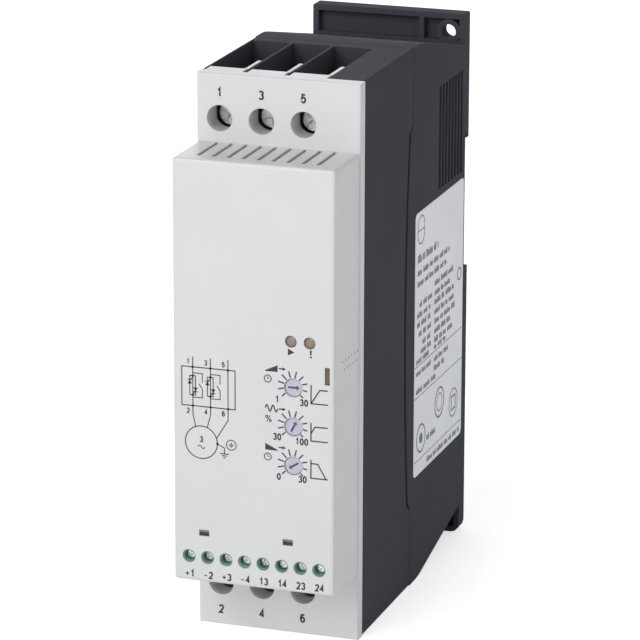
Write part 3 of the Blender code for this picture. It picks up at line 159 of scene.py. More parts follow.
def bump(tree, height, strength, distance, normal=None):
    node = tree.nodes.new("ShaderNodeBump")
    node.inputs["Strength"].default_value = strength
    node.inputs["Distance"].default_value = distance * MM
    tree.links.new(height, node.inputs["Height"])
    if normal is not None:
        tree.links.new(normal, node.inputs["Normal"])
    return node.outputs["Normal"]


def soft_edges(tree, radius):
    """Normals that round the edges of a moulding."""
    node = tree.nodes.new("ShaderNodeBevel")
    node.samples = EDGE_SAMPLES
    node.inputs["Radius"].default_value = radius * MM
    return node.outputs["Normal"]


def shades(colour, share):
    """The colour a little darker, and a little lighter."""
    return [c * (1 - share) for c in colour], [min(1.0, c * (1 + share)) for c in colour]


def surface(name, colour, roughness, *, metallic=0.0, grain=1500.0, grain_depth=0.02, mottle=60.0,
            variation=0.03, polish=0.05, edge=0.25, grain_strength=0.25):
    """A finish with faint patches of colour, changes of gloss, fine grain and softened edges."""
    material, tree, shader = node_material(name, colour, roughness, metallic)
    place = object_place(tree)
    colours = ramp(tree, noise(tree, place, mottle, 2.0), zip(PATCH_SPAN, shades(colour, variation)))
    tree.links.new(colours, shader.inputs["Base Color"])
    fine = noise(tree, place, grain, 2.0, 0.6)
    gloss = spread(tree, noise(tree, place, mottle * 4, 4.0), roughness - polish, roughness + polish)
    tree.links.new(gloss, shader.inputs["Roughness"])
    edges = soft_edges(tree, edge) if edge else None
    tree.links.new(bump(tree, fine, grain_strength, grain_depth, edges), shader.inputs["Normal"])
    return material, tree, shader


# colour, roughness, and where a finish differs from the usual values of surface()
FINISHES = {
    "pale_plastic": ((0.745, 0.750, 0.762), 0.40, {"grain": 2600.0, "variation": 0.012, "edge": 0.35}),
    "black_plastic": ((0.068, 0.068, 0.083), 0.66, {
        "grain": 2200.0, "mottle": 30.0, "variation": 0.04, "polish": 0.03, "edge": 0.3,
    }),
    "green_plastic": ((0.14, 0.35, 0.23), 0.38, {"mottle": 150.0, "variation": 0.08}),
    "dial_plastic": ((0.56, 0.55, 0.68), 0.34, {
        "mottle": 700.0, "variation": 0.06, "polish": 0.06, "edge": 0.12,
    }),
    "component_plastic": ((0.035, 0.038, 0.05), 0.5, {"mottle": 120.0, "variation": 0.12}),
    "plated_steel": ((0.72, 0.72, 0.71), 0.32, {
        "metallic": 1.0, "grain": 2600.0, "grain_depth": 0.01, "grain_strength": 0.15, "mottle": 500.0,
        "variation": 0.08, "polish": 0.07, "edge": 0.12,
    }),
    "plated_copper": ((0.72, 0.60, 0.50), 0.34, {
        "metallic": 1.0, "grain": 700.0, "mottle": 220.0, "variation": 0.10, "polish": 0.08, "edge": 0.15,
    }),
    "ink": ((0.022, 0.022, 0.026), 0.5, {
        "grain": 3000.0, "grain_strength": 0.1, "mottle": 800.0, "variation": 0.25, "edge": 0.0,
    }),
    "label_ink": ((0.075, 0.078, 0.095), 0.5, {
        "grain": 3000.0, "grain_strength": 0.1, "mottle": 1500.0, "variation": 0.3, "edge": 0.0,
    }),
    "label_film": ((0.89, 0.92, 0.98), 0.36, {
        "grain": 1800.0, "grain_strength": 0.08, "mottle": 70.0, "edge": 0.0,
    }),
    # the coding strip, and the tongues and pockets of the release slots: the tongue is the olive painted
    # lighter as painted light, the pocket a near-black copy of it as painted shade
    "olive_plastic": ((0.125, 0.108, 0.062), 0.45, {
        "grain": 2400.0, "grain_strength": 0.2, "mottle": 900.0, "variation": 0.18, "edge": 0.1,
    }),
    "tongue_plastic": ((0.25, 0.225, 0.13), 0.45, {
        "grain": 2400.0, "grain_strength": 0.2, "mottle": 900.0, "variation": 0.15, "edge": 0.1,
    }),
    "pocket_plastic": ((0.012, 0.011, 0.006), 0.6, {
        "grain": 2400.0, "mottle": 900.0, "variation": 0.2, "edge": 0.1,
    }),
    # a dark copy of the dial's lavender, as painted shade in the dials' sunk arrows
    "arrow_paint": ((0.09, 0.085, 0.12), 0.5, {
        "grain": 2600.0, "mottle": 1200.0, "variation": 0.35, "edge": 0.0,
    }),
}


def make_finish(name):
    """The finish of a row in FINISHES, with its node tree and its shader."""
    colour, roughness, changes = FINISHES[name]
    return surface(name, colour, roughness, **changes)


def paint_recess_shade(tree, shader):
    """Painted shade: darkens a finish where faces stand close to each other, in slots and wells."""
    plain = shader.inputs["Base Color"].links[0].from_socket
    open_share = tree.nodes.new("ShaderNodeAmbientOcclusion")
    open_share.samples = RECESS_SAMPLES
    open_share.only_local = True
    open_share.inputs["Distance"].default_value = RECESS_REACH * MM
    greys = ([RECESS_SHADE] * 3, [1.0] * 3)
    shade = ramp(tree, open_share.outputs["AO"], zip(RECESS_SPAN, greys))
    mix = tree.nodes.new("ShaderNodeMix")
    mix.data_type = "RGBA"
    mix.blend_type = "MULTIPLY"
    mix.inputs["Factor"].default_value = 1.0
    tree.links.new(plain, mix.inputs["A"])
    tree.links.new(shade, mix.inputs["B"])
    tree.links.new(mix.outputs["Result"], shader.inputs["Base Color"])


def pale_plastic():
    material, tree, shader = make_finish("pale_plastic")
    # painted shade in the cover's slots, wells and corners
    paint_recess_shade(tree, shader)
    return material


def black_plastic():
    """Nearly without gloss, so that its tops don't mirror the white room."""
    material, _, shader = make_finish("black_plastic")
    shader.inputs["Specular IOR Level"].default_value = 0.02
    return material


def dial_plastic():
    material, _, shader = make_finish("dial_plastic")
    shader.inputs["Coat Weight"].default_value = 0.2
    return material


LAMP_RADIUS = 1.45
LAMP_TINTS = {"run_led": (0.25, 0.19, 0.155), "error_led": (0.235, 0.18, 0.125)}
LAMP_RINGS = ((0.0, 1.15), (0.45, 1.0), (0.72, 1.0), (0.98, 0.5))    # share of the radius, and of the tint


def lamp_plastic(name, colour, centre):
    """Tinted lens, darker towards its rim, round the lamp's axis at centre."""
    material, tree, shader = surface(name, colour, 0.24, mottle=900.0, edge=0.15, grain_strength=0.1)
    distance = tree.nodes.new("ShaderNodeVectorMath")
    distance.operation = "DISTANCE"
    distance.inputs[1].default_value = centre
    tree.links.new(object_place(tree), distance.inputs[0])
    share = tree.nodes.new("ShaderNodeMapRange")
    share.inputs["From Min"].default_value = 0.0
    share.inputs["From Max"].default_value = LAMP_RADIUS * MM
    tree.links.new(distance.outputs["Value"], share.inputs["Value"])
    stops = [(where, [c * tint for c in colour]) for where, tint in LAMP_RINGS]
    tree.links.new(ramp(tree, share.outputs["Result"], stops), shader.inputs["Base Color"])
    shader.inputs["Coat Weight"].default_value = 0.5
    shader.inputs["Coat Roughness"].default_value = 0.15
    return material


def aluminium():
    """Extruded aluminium, with draw lines along its length."""
    colour = (0.72, 0.725, 0.73)
    material, tree, shader = node_material("aluminium", colour, 0.36, 1.0)
    place = object_place(tree)
    stretch = tree.nodes.new("ShaderNodeMapping")
    stretch.inputs["Scale"].default_value = (1.0, 1.0, 0.02)
    tree.links.new(place, stretch.inputs["Vector"])
    lines = noise(tree, stretch.outputs["Vector"], 1800.0, 3.0, 0.6)
    colours = ramp(tree, noise(tree, place, 90.0), zip(NOISE_SPAN, shades(colour, 0.08)))
    tree.links.new(colours, shader.inputs["Base Color"])
    tree.links.new(spread(tree, lines, 0.28, 0.45), shader.inputs["Roughness"])
    tree.links.new(bump(tree, lines, 0.3, 0.02), shader.inputs["Normal"])
    return material


def circuit_board():
    """Green lacquered board with faint copper tracks under the lacquer."""
    colour = (0.025, 0.13, 0.065)
    material, tree, shader = node_material("circuit_board", colour, 0.28)
    place = object_place(tree)
    tracks = tree.nodes.new("ShaderNodeTexBrick")
    tracks.inputs["Scale"].default_value = 260.0
    tracks.inputs["Mortar Size"].default_value = 0.06
    tracks.inputs["Color1"].default_value = (*colour, 1.0)
    tracks.inputs["Color2"].default_value = (0.022, 0.115, 0.06, 1.0)
    tracks.inputs["Mortar"].default_value = (0.05, 0.22, 0.10, 1.0)
    turn = tree.nodes.new("ShaderNodeMapping")
    turn.inputs["Rotation"].default_value = (math.radians(90), 0.0, 0.0)
    tree.links.new(place, turn.inputs["Vector"])
    tree.links.new(turn.outputs["Vector"], tracks.inputs["Vector"])
    tree.links.new(tracks.outputs["Color"], shader.inputs["Base Color"])
    tree.links.new(spread(tree, noise(tree, place, 400.0), 0.22, 0.36), shader.inputs["Roughness"])
    tree.links.new(bump(tree, tracks.outputs["Fac"], 0.25, 0.03), shader.inputs["Normal"])
    shader.inputs["Coat Weight"].default_value = 0.4
    return material


MATERIALS = {
    "pale_plastic": pale_plastic(),
    "black_plastic": black_plastic(),
    "dial_plastic": dial_plastic(),
    "circuit_board": circuit_board(),
    "aluminium": aluminium(),
}
for name in FINISHES:
    if name not in MATERIALS:
        MATERIALS[name] = make_finish(name)[0]

SLOT_OF = {row["node"]: row["material_slot"] for row in frame["record"]["subparts"]}
for name, node in frame["nodes"].items():
    node.data.materials.clear()
    if name in LAMP_TINTS:
        low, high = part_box(name)
        centre = ((low[0] + high[0]) / 2, low[1], (low[2] + high[2]) / 2)
        node.data.materials.append(lamp_plastic(name, LAMP_TINTS[name], centre))
    else:
        node.data.materials.append(MATERIALS[SLOT_OF[name]])


# Flat print

INK_HEIGHT = 0.03      # how far print stands on its face
INK_SINK = 0.02        # how far it reaches into the face
LABEL_HEIGHT = 0.08
PRINT_LINE = 0.34      # width of the lines of symbols
MITRE_LIMIT = 0.35     # keeps the corners of sharp turns short
FIGURE_WIDTH = 0.58    # of a figure, as a share of its height
FIGURE_GAP = 0.04
FIGURE_STROKE = 0.195
SIGNS = "+-"           # they have a thinner stroke than figures, and stand further from the next one
SIGN_STROKE = 0.13
SIGN_GAP = 0.12


class Face:
    """A plane that print lies on. across and up are its directions, out is its normal."""

    def __init__(self, origin, across, up):
        self.origin = Vector(origin)
        self.across = Vector(across)
        self.up = Vector(up)
        self.out = self.across.cross(self.up)

    def point(self, u, v, height):
        return (self.origin + self.across * u + self.up * v + self.out * height) * MM


CONTROL_FACE = Face((0, FRONT, 0), (1, 0, 0), (0, 0, 1))
POWER_FACE = Face((0, FRONT + TERMINAL_SETBACK, 0), (1, 0, 0), (0, 0, 1))
COVER_SIDE = Face((SIDE - COVER_INSET, 0, 0), (0, 1, 0), (0, 0, 1))
LABEL_SIDE = Face((SIDE, 0, 0), (0, 1, 0), (0, 0, 1))
LABEL_TOP = Face((SIDE + LABEL_HEIGHT, 0, 0), (0, 1, 0), (0, 0, 1))


class Print:
    """Thin raised shapes on one face, gathered in one mesh."""

    def __init__(self, face, height=INK_HEIGHT, sink=INK_SINK):
        self.bm = bmesh.new()
        self.face = face
        self.height = height
        self.sink = sink

    def outline(self, points):
        """A filled outline, anticlockwise as seen from outside."""
        face = self.face
        low = [self.bm.verts.new(face.point(u, v, -self.sink)) for u, v in points]
        high = [self.bm.verts.new(face.point(u, v, self.height)) for u, v in points]
        self.bm.faces.new(high)
        self.bm.faces.new(list(reversed(low)))
        count = len(points)
        for i in range(count):
            j = (i + 1) % count
            self.bm.faces.new((low[i], low[j], high[j], high[i]))

    def strip(self, left, right, closed):
        """The band between two rows of points."""
        face = self.face
        rows = [
            [self.bm.verts.new(face.point(u, v, height)) for u, v in side]
            for side in (left, right)
            for height in (-self.sink, self.height)
        ]
        left_low, left_high, right_low, right_high = rows
        count = len(left)
        for i in range(count if closed else count - 1):
            j = (i + 1) % count
            self.bm.faces.new((left_high[i], right_high[i], right_high[j], left_high[j]))
            self.bm.faces.new((left_low[i], left_low[j], right_low[j], right_low[i]))
            self.bm.faces.new((left_low[i], left_high[i], left_high[j], left_low[j]))
            self.bm.faces.new((right_low[i], right_low[j], right_high[j], right_high[i]))
        if not closed:
            self.bm.faces.new((left_low[0], right_low[0], right_high[0], left_high[0]))
            self.bm.faces.new((left_low[-1], left_high[-1], right_high[-1], right_low[-1]))

    def line(self, points, width=PRINT_LINE, closed=False):
        """A line with mitred corners through the points."""
        places = [Vector(p) for p in points]
        count = len(places)
        left, right = [], []
        for i, place in enumerate(places):
            before = places[i - 1] if i or closed else place
            after = places[(i + 1) % count] if i < count - 1 or closed else place
            ways = [(b - a).normalized() for a, b in ((before, place), (place, after)) if a is not b]
            normals = [Vector((-w.y, w.x)) for w in ways]
            normal = sum(normals, Vector((0, 0))).normalized()
            reach = width / 2 / max(MITRE_LIMIT, normal.dot(normals[0]))
            left.append(place + normal * reach)
            right.append(place - normal * reach)
        self.strip(left, right, closed)

    def ring(self, u, v, radius, width, sides):
        self.line(circle_points(u, v, radius, sides), width, closed=True)

    def disc(self, u, v, radius, sides):
        self.outline(circle_points(u, v, radius, sides))

    def bar(self, u0, u1, v0, v1):
        self.outline(((u0, v0), (u1, v0), (u1, v1), (u0, v1)))

    def number(self, text, u, v, height, weight=FIGURE_STROKE):
        """Figures of that height, in millimetres, with their middle at (u, v)."""
        gaps = [SIGN_GAP if letter in SIGNS else FIGURE_GAP for letter in text[:-1]]
        left = u - height * (FIGURE_WIDTH * len(text) + sum(gaps)) / 2
        for letter, gap in zip(text, gaps + [0.0]):
            stroke = height * (SIGN_STROKE if letter in SIGNS else weight)
            span = height * FIGURE_WIDTH - stroke
            rise = height - stroke
            start = left + stroke / 2
            foot = v - rise / 2
            for points, closed in FIGURES[letter]:
                self.line([(start + x * span, foot + z * rise) for x, z in points], stroke, closed)
            left += height * (FIGURE_WIDTH + gap)

    def finish(self, name, material, body="housing"):
        to_piece(name, self.bm, material, body)


def arc(u, v, radius_u, radius_v, start, end, steps=12):
    """Points of an arc from one angle to another, in degrees anticlockwise from the right."""
    angles = [math.radians(start + (end - start) * i / steps) for i in range(steps + 1)]
    return [(u + radius_u * math.cos(a), v + radius_v * math.sin(a)) for a in angles]


# middle lines of the strokes of figures and signs in a box from (0, 0) to (1, 1), and whether each is closed
FIGURES = {
    "0": [(arc(0.5, 0.5, 0.5, 0.5, 0, 345, 23), True)],
    "1": [([(0.12, 0.76), (0.42, 0.84), (0.6, 1.0), (0.6, 0.0)], False)],
    "2": [(arc(0.5, 0.71, 0.48, 0.29, 170, -30) + [(0.02, 0.0), (1.0, 0.0)], False)],
    "3": [
        (arc(0.48, 0.765, 0.44, 0.235, 160, -90), False),
        (arc(0.48, 0.265, 0.5, 0.265, 90, -160), False),
    ],
    "4": [([(0.74, 0.0), (0.74, 1.0), (0.0, 0.3), (1.05, 0.3)], False)],
    "5": [([(0.92, 1.0), (0.2, 1.0), (0.08, 0.54)] + arc(0.48, 0.325, 0.5, 0.325, 128, -158), False)],
    "6": [
        (arc(0.5, 0.31, 0.48, 0.31, 0, 345, 23), True),
        (arc(0.52, 0.6, 0.5, 0.4, 42, 180) + [(0.02, 0.31)], False),
    ],
    "+": [([(-0.06, 0.44), (1.06, 0.44)], False), ([(0.5, 0.15), (0.5, 0.73)], False)],
    "-": [([(0.1, 0.4), (0.9, 0.4)], False)],
    "%": [
        ([(0.05, 0.0), (0.95, 1.0)], False),
        (arc(-0.03, 0.77, 0.27, 0.2, 0, 330, 11), True),
        (arc(1.03, 0.23, 0.27, 0.2, 0, 330, 11), True),
    ],
}


def circle_points(u, v, radius, sides):
    angles = [2 * math.pi * i / sides for i in range(sides)]
    return [(u + radius * math.cos(a), v + radius * math.sin(a)) for a in angles]


def wave_points(left, width, middle, swing, waves, steps):
    shares = [i / steps for i in range(steps + 1)]
    return [(left + width * s, middle + swing * math.sin(2 * math.pi * waves * s)) for s in shares]


def to_piece(name, bm, material, body):
    """A piece from a mesh, with the finish of that name."""
    mesh = bpy.data.meshes.new(name)
    bm.to_mesh(mesh)
    bm.free()
    mesh.materials.append(MATERIALS[material])
    piece = bpy.data.objects.new(name, mesh)
    bpy.context.scene.collection.objects.link(piece)
    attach(piece, body)
    return piece


# Print on the control face

# the two end numbers of each scale, and where they stand
DIAL_NUMBERS = {
    "start_dial": (("1", 6.59, 71.57), ("30", 13.9, 71.27)),
    "voltage_dial": (("30", 6.55, 61.39), ("100", 13.32, 60.68)),
    "stop_dial": (("0", 7.04, 50.56), ("30", 13.53, 50.43)),
}
NUMBER_HEIGHT = 1.95
SCALE_SHIFT = Vector((-0.2, 0.42))   # of the printed scales from the dials' axes, as on the real print
TICK_LINE = 0.36
TICK_START = 2.3
TICK_END = 4.15
TICK_ENDS = {-45: 4.05, 225: 4.1}    # shorter ones beside the numbers, by their angle
TICK_ANGLES = [-45 + 30 * i for i in range(10)]
DIAL_ROOM = 2.65                     # print stays outside this radius round a dial's axis


def dial_scales():
    """Tick marks and end numbers around the three dials."""
    marks = Print(CONTROL_FACE)
    for name, centre in DIAL_CENTRES.items():
        for angle in TICK_ANGLES:
            way = Vector((math.cos(math.radians(angle)), math.sin(math.radians(angle))))
            along = -SCALE_SHIFT.dot(way)
            aside = SCALE_SHIFT.length_squared - along * along
            start = max(TICK_START, along + math.sqrt(DIAL_ROOM * DIAL_ROOM - aside))
            end = TICK_ENDS.get(angle, TICK_END)
            middle = Vector((centre.x, centre.z)) + SCALE_SHIFT
            marks.line((middle + way * start, middle + way * end), TICK_LINE)
        for text, u, v in DIAL_NUMBERS[name]:
            marks.number(text, u, v, NUMBER_HEIGHT)
    marks.finish("dial_scales", "ink")


GRAPH_LEFT = 15.85
GRAPH_SIZE = (4.6, 5.0)
# the foot of each graph, and its curve from the corner
GRAPHS = (
    (71.3, ((0.0, 0.0), (2.36, 3.75), (4.55, 3.8))),
    (61.17, ((0.0, 2.05), (1.1, 3.85), (4.55, 3.9))),
    (51.05, ((0.0, 4.0), (1.85, 3.95), (4.1, 0.05))),
)


def ramp_graphs():
    """Voltage over time beside each dial: a slow start, a start from a step, and a slow stop."""
    graphs = Print(CONTROL_FACE)
    width, height = GRAPH_SIZE
    for foot, points in GRAPHS:
        graphs.line(((GRAPH_LEFT, foot + height), (GRAPH_LEFT, foot), (GRAPH_LEFT + width, foot)))
        graphs.line([(GRAPH_LEFT + u, foot + v) for u, v in points])
    graphs.finish("ramp_graphs", "ink")


ARROW_LENGTH = 3.0
ARROW_SLOT = 0.45
ARROW_HEAD = 1.4
ARROW_LAYER = (0.25, 0.46)   # depth of the painted shade's front and back below the dial's face
ARROW_ANGLES = {"start_dial": 0, "voltage_dial": 62, "stop_dial": 213}


def dial_arrows():
    """Painted shade: a dark copy of the dial's colour in the sunk arrow of each dial."""
    tip, slot, barb = ARROW_LENGTH / 2, ARROW_SLOT / 2, ARROW_HEAD / 2
    neck = tip - barb
    lower = [(-tip, -slot), (neck, -slot), (neck, -barb)]
    outline = lower + [(tip, 0)] + [(x, -z) for x, z in reversed(lower)]
    front, back = ARROW_LAYER
    for name, angle in ARROW_ANGLES.items():
        centre = DIAL_CENTRES[name]
        face = limits(name)[0][1]
        turn = math.radians(angle)
        across = (math.cos(turn), 0, math.sin(turn))
        up = (-math.sin(turn), 0, math.cos(turn))
        shade_layer = Print(Face((centre.x, face, centre.z), across, up), -front, back)
        shade_layer.outline(outline)
        shade_layer.finish(name.replace("dial", "arrow"), "arrow_paint", name)


SYMBOL_LEFT = 3.3
SYMBOL_WIDTH = 3.4
POINTER = (7.0, 9.0)         # tail and tip of the arrow beside each symbol
POINTER_HEAD = 0.95
WEDGE_DROP = 0.95            # from a symbol's middle to the foot of its wedge
# left and right height of each wedge, and how high its middle and its clock's middle stand
TIME_SYMBOLS = ((0.25, 1.8, 79.86, 76.9), (1.8, 0.25, 58.5, 55.7))
CLOCK_MIDDLE = 4.0
CLOCK_RADIUS = 0.95
CLOCK_HANDS = (0.62, 0.42)   # length of the upright and of the level hand
CLOCK_RIM_LINE = 0.26
CLOCK_HAND_LINE = 0.2
WAVE_MIDDLE = 68.96
WAVE_SWING = 0.85
PERCENT = ("%", 4.2, 66.1, 2.05, 0.125)    # sign, across, up, height, stroke


def setting_symbols():
    """A wedge and a clock at the two time dials, and a wave and a percent sign at the voltage dial."""
    symbols = Print(CONTROL_FACE)
    left, right = SYMBOL_LEFT, SYMBOL_LEFT + SYMBOL_WIDTH
    upright, level = CLOCK_HANDS
    for low, high, height, clock in TIME_SYMBOLS:
        foot = height - WEDGE_DROP
        symbols.outline(((left, foot), (right, foot), (right, foot + high), (left, foot + low)))
        pointer(symbols, height)
        symbols.ring(CLOCK_MIDDLE, clock, CLOCK_RADIUS, CLOCK_RIM_LINE, 32)
        hands = ((CLOCK_MIDDLE, clock + upright), (CLOCK_MIDDLE, clock), (CLOCK_MIDDLE + level, clock))
        symbols.line(hands, CLOCK_HAND_LINE)
    symbols.line(wave_points(SYMBOL_LEFT, SYMBOL_WIDTH, WAVE_MIDDLE, WAVE_SWING, 2, 32))
    pointer(symbols, WAVE_MIDDLE)
    symbols.number(*PERCENT)
    symbols.finish("setting_symbols", "ink")


def pointer(mark, height):
    """An arrow to the right, at that height, from a symbol towards its dial."""
    tail, tip = POINTER
    neck = tip - POINTER_HEAD
    mark.line(((tail, height), (neck, height)))
    mark.outline(((neck, height - POINTER_HEAD / 2), (tip, height), (neck, height + POINTER_HEAD / 2)))


RUN_TRIANGLE = ((9.5, 83.65), (11.3, 84.6), (9.5, 85.55))
FAULT_STROKE = ((15.75, 85.6), (15.75, 84.35))
FAULT_LINE = 0.46
FAULT_DOT = (15.75, 83.75, 0.29, 12)    # across, up, radius, sides


def lamp_symbols():
    """A run triangle and a fault mark under the two lamps."""
    symbols = Print(CONTROL_FACE)
    symbols.outline(RUN_TRIANGLE)
    symbols.line(FAULT_STROKE, FAULT_LINE)
    symbols.disc(*FAULT_DOT)
    symbols.finish("lamp_symbols", "ink")


# Wiring diagram

PHASES = (-16.7, -11.8, -6.95)
PHASE_TOP = 80.8
PHASE_KNEES = (65.2, 65.4, 64.4)         # from there the phases turn towards the motor
BOX = (-19.75, -5.0, 67.45, 78.0)        # left, right, low, high
MOTOR = (-14.4, 57.65, 4.45)             # across, up, radius
MOTOR_ENDS = ((-15.95, 4.17), (-12.75, 4.14), (-10.2, 1.4))    # of the phases: across, up from its middle
MOTOR_NUMBER = (0.85, 1.7)               # up from its middle, and height
MOTOR_WAVE = (2.0, -1.3, 0.4)            # width, up from its middle, swing
MOTOR_DOT = 0.36
EARTH_CORNER = (-8.0, 56.7)
EARTH_FOOT = (-8.0, 55.1)
EARTH_MARK = (-6.1, 57.7, 1.35)          # the ringed earth sign: across, up, radius
EARTH_MARK_STEM = (58.5, 57.75)          # its top and its foot
EARTH_HALF = 1.25                        # half the width of the earth sign, and of the ringed one
EARTH_MARK_HALF = 0.75
DIAGRAM_NUMBER = 1.5
DIAGRAM_NUMBER_ROWS = (79.4, 66.05)
DIAGRAM_NUMBER_SHIFT = -1.3              # from its phase
DIAGRAM_LINE = 0.26
FRAME_LINE = 0.28
FINE_LINE = 0.24
HAIR_LINE = 0.2
DOT = 0.34
DOT_SIDES = 14


def wiring_diagram():
    """Three phases through two pairs of thyristors with their bypass contacts, to the motor and to earth."""
    diagram = Print(CONTROL_FACE)
    left, right, low, high = BOX
    diagram.line(((left, low), (right, low), (right, high), (left, high)), FRAME_LINE, closed=True)
    u, v, radius = MOTOR
    for x, knee, (across, up) in zip(PHASES, PHASE_KNEES, MOTOR_ENDS):
        diagram.line(((x, PHASE_TOP), (x, knee), (across, v + up)), DIAGRAM_LINE)
        for height in (high, low):
            diagram.disc(x, height, DOT, DOT_SIDES)
    for x in PHASES[:2]:
        thyristor_pair(diagram, x)
    for x, figures in zip(PHASES, ("12", "34", "56")):
        for figure, height in zip(figures, DIAGRAM_NUMBER_ROWS):
            diagram.number(figure, x + DIAGRAM_NUMBER_SHIFT, height, DIAGRAM_NUMBER)
    diagram.ring(u, v, radius, FRAME_LINE, 64)
    up, height = MOTOR_NUMBER
    diagram.number("3", u, v + up, height)
    width, up, swing = MOTOR_WAVE
    diagram.line(wave_points(u - width / 2, width, v + up, swing, 1, 20), FINE_LINE)
    diagram.disc(u + radius, v, MOTOR_DOT, DOT_SIDES)
    diagram.line(((u + radius, v), EARTH_CORNER, EARTH_FOOT), DIAGRAM_LINE)
    earth(diagram, *EARTH_FOOT, EARTH_HALF, DIAGRAM_LINE)
    diagram.ring(*EARTH_MARK, FINE_LINE, 40)
    across = EARTH_MARK[0]
    top, foot = EARTH_MARK_STEM
    diagram.line(((across, top), (across, foot)), HAIR_LINE)
    earth(diagram, across, foot, EARTH_MARK_HALF, HAIR_LINE)
    diagram.finish("wiring_diagram", "ink")


PAIR_ENDS = (75.6, 70.4)                 # where a pair of thyristors leaves its phase and meets it again
PAIR_ARMS = ((-0.85, 73.9, 1), (0.75, 71.9, -1))    # across from the phase, height and direction of each
GATE_HALF = 0.62                         # half the width of a thyristor's sign
GATE_BASE = 0.55
GATE_BAR = 0.6
GATE_LEG = (0.85, 1.25)
BYPASS = 2.65                            # how far the bypass stands from the phase
BYPASS_ENDS = (76.4, 69.8)
CONTACT = (73.9, 73.5, 72.2)             # top of the gap, and the blade's free and fixed end
CONTACT_SWING = 0.9


def thyristor_pair(mark, x):
    """Two thyristors back to back on a phase, and the contact that bypasses them."""
    top, bottom = PAIR_ENDS
    for height in PAIR_ENDS:
        mark.disc(x, height, DOT, DOT_SIDES)
    for shift, _, _ in PAIR_ARMS:
        mark.line(((x, top), (x + shift, top), (x + shift, bottom), (x, bottom)), FINE_LINE)
    for shift, middle, way in PAIR_ARMS:
        arm, bar = x + shift, middle + GATE_BAR * way
        corners = ((-GATE_HALF, -GATE_BASE), (GATE_HALF, -GATE_BASE), (0, GATE_BASE))
        mark.outline([(arm + s * way, middle + t * way) for s, t in corners])
        mark.line(((arm - GATE_HALF, bar), (arm + GATE_HALF, bar)), FINE_LINE)
        mark.line(((arm, bar), (arm + GATE_LEG[0] * way, middle + GATE_LEG[1] * way)), FINE_LINE)
    far = x + BYPASS
    top, bottom = BYPASS_ENDS
    gap, tip, hinge = CONTACT
    mark.line(((x, top), (far, top), (far, gap)), FINE_LINE)
    mark.line(((far - CONTACT_SWING, tip), (far, hinge), (far, bottom), (x, bottom)), FINE_LINE)


def earth(mark, u, v, half, width):
    """The earth sign: three shorter and shorter lines."""
    for i, share in enumerate((1.0, 0.6, 0.25)):
        height = v - i * half * 0.42
        mark.line(((u - half * share, height), (u + half * share, height)), width)


# Terminal numbers

CONTROL_NUMBERS = ("+1", "-2", "+3", "-4", "13", "14", "23", "24")
CONTROL_NUMBER_SHIFT = 0.2    # to the right of its screw
CONTROL_NUMBER_ROW = 21.05
CONTROL_NUMBER_SIZE = 2.1
POWER_NUMBERS = (("line", 147.0, "135"), ("load", 4.4, "246"))
POWER_NUMBER_SIZE = 2.6


def control_numbers():
    """Terminal numbers under the eight control screws."""
    numbers = Print(CONTROL_FACE)
    for i, text in enumerate(CONTROL_NUMBERS):
        across = middle_across(f"control_screw_{i + 1}") + CONTROL_NUMBER_SHIFT
        numbers.number(text, across, CONTROL_NUMBER_ROW, CONTROL_NUMBER_SIZE)
    numbers.finish("control_numbers", "ink")


def power_numbers():
    """Terminal numbers above the three upper and below the three lower power screws."""
    numbers = Print(POWER_FACE)
    for end, height, texts in POWER_NUMBERS:
        for i, text in enumerate(texts):
            numbers.number(text, middle_across(f"{end}_screw_{i + 1}"), height, POWER_NUMBER_SIZE)
    numbers.finish("power_numbers", "ink")


SIDE_DOT_ROWS = ((80.9, 7, -52.6), (78.4, 6, -51.2))    # height, count and start of each row
SIDE_DOT_STEP = 2.5
SIDE_DOT_FALL = 0.06                                    # from one dot to the next
SIDE_DOT = ((0, 0), (0.35, 0.1), (0.35, 0.75), (0, 0.65))
SIDE_DOT_HEIGHT = 0.015


def side_dots():
    """Two slanting rows of faint moulding dots on the cover's right side."""
    dots = Print(COVER_SIDE, SIDE_DOT_HEIGHT)
    for height, count, start in SIDE_DOT_ROWS:
        for i in range(count):
            u = start + i * SIDE_DOT_STEP
            v = height - SIDE_DOT_FALL * i
            dots.outline([(u + s, v + t) for s, t in SIDE_DOT])
    dots.finish("moulding_dots", "component_plastic")


# Parts that show in the small openings of the cover, with their depths below the control face

STRIP = (19.68, 20.82, 76.74, 81.22)    # left, right, low, high
STRIP_FRONT = 0.3
STRIP_BACK = 1.6
RIDGE_WIDTH = 0.26
RIDGE_START = 0.5                       # above the strip's foot
RIDGE_RISE = (0.2, 0.1)                 # over the strip's front, at its foot and at its head
STRIP_EDGE = 0.05
TONGUES = (-13.74, 9.5)
TONGUE_HEIGHT = 32.6
TONGUE_SIZE = (2.7, 1.6)
TONGUE_SPLIT = 0.02                     # how far above the slot's middle tongue and pocket meet
TONGUE_FRONTS = (0.45, 0.15)            # at the foot and at the head
POCKET_FRONTS = (0.25, 0.7)
TONGUE_BACK = 1.7
TONGUE_EDGE = 0.08


def slanted_block(bm, u, v, fronts, back):
    """A block in the cover, its front face slanting from the depth at its foot to the depth at its head."""
    foot, head = fronts
    corners = [(x, y, z) for z, front in ((v[0], foot), (v[1], head)) for y in (front, back) for x in u]
    verts = [bm.verts.new(CONTROL_FACE.point(x, z, -y)) for x, y, z in corners]
    quads = ((0, 1, 3, 2), (4, 6, 7, 5), (0, 4, 5, 1), (2, 3, 7, 6), (0, 2, 6, 4), (1, 5, 7, 3))
    made = [bm.faces.new([verts[i] for i in quad]) for quad in quads]
    bmesh.ops.recalc_face_normals(bm, faces=made)


def round_block_edges(bm, radius):
    bmesh.ops.bevel(bm, geom=bm.edges[:], offset=radius * MM, segments=2, profile=0.5, affect="EDGES")


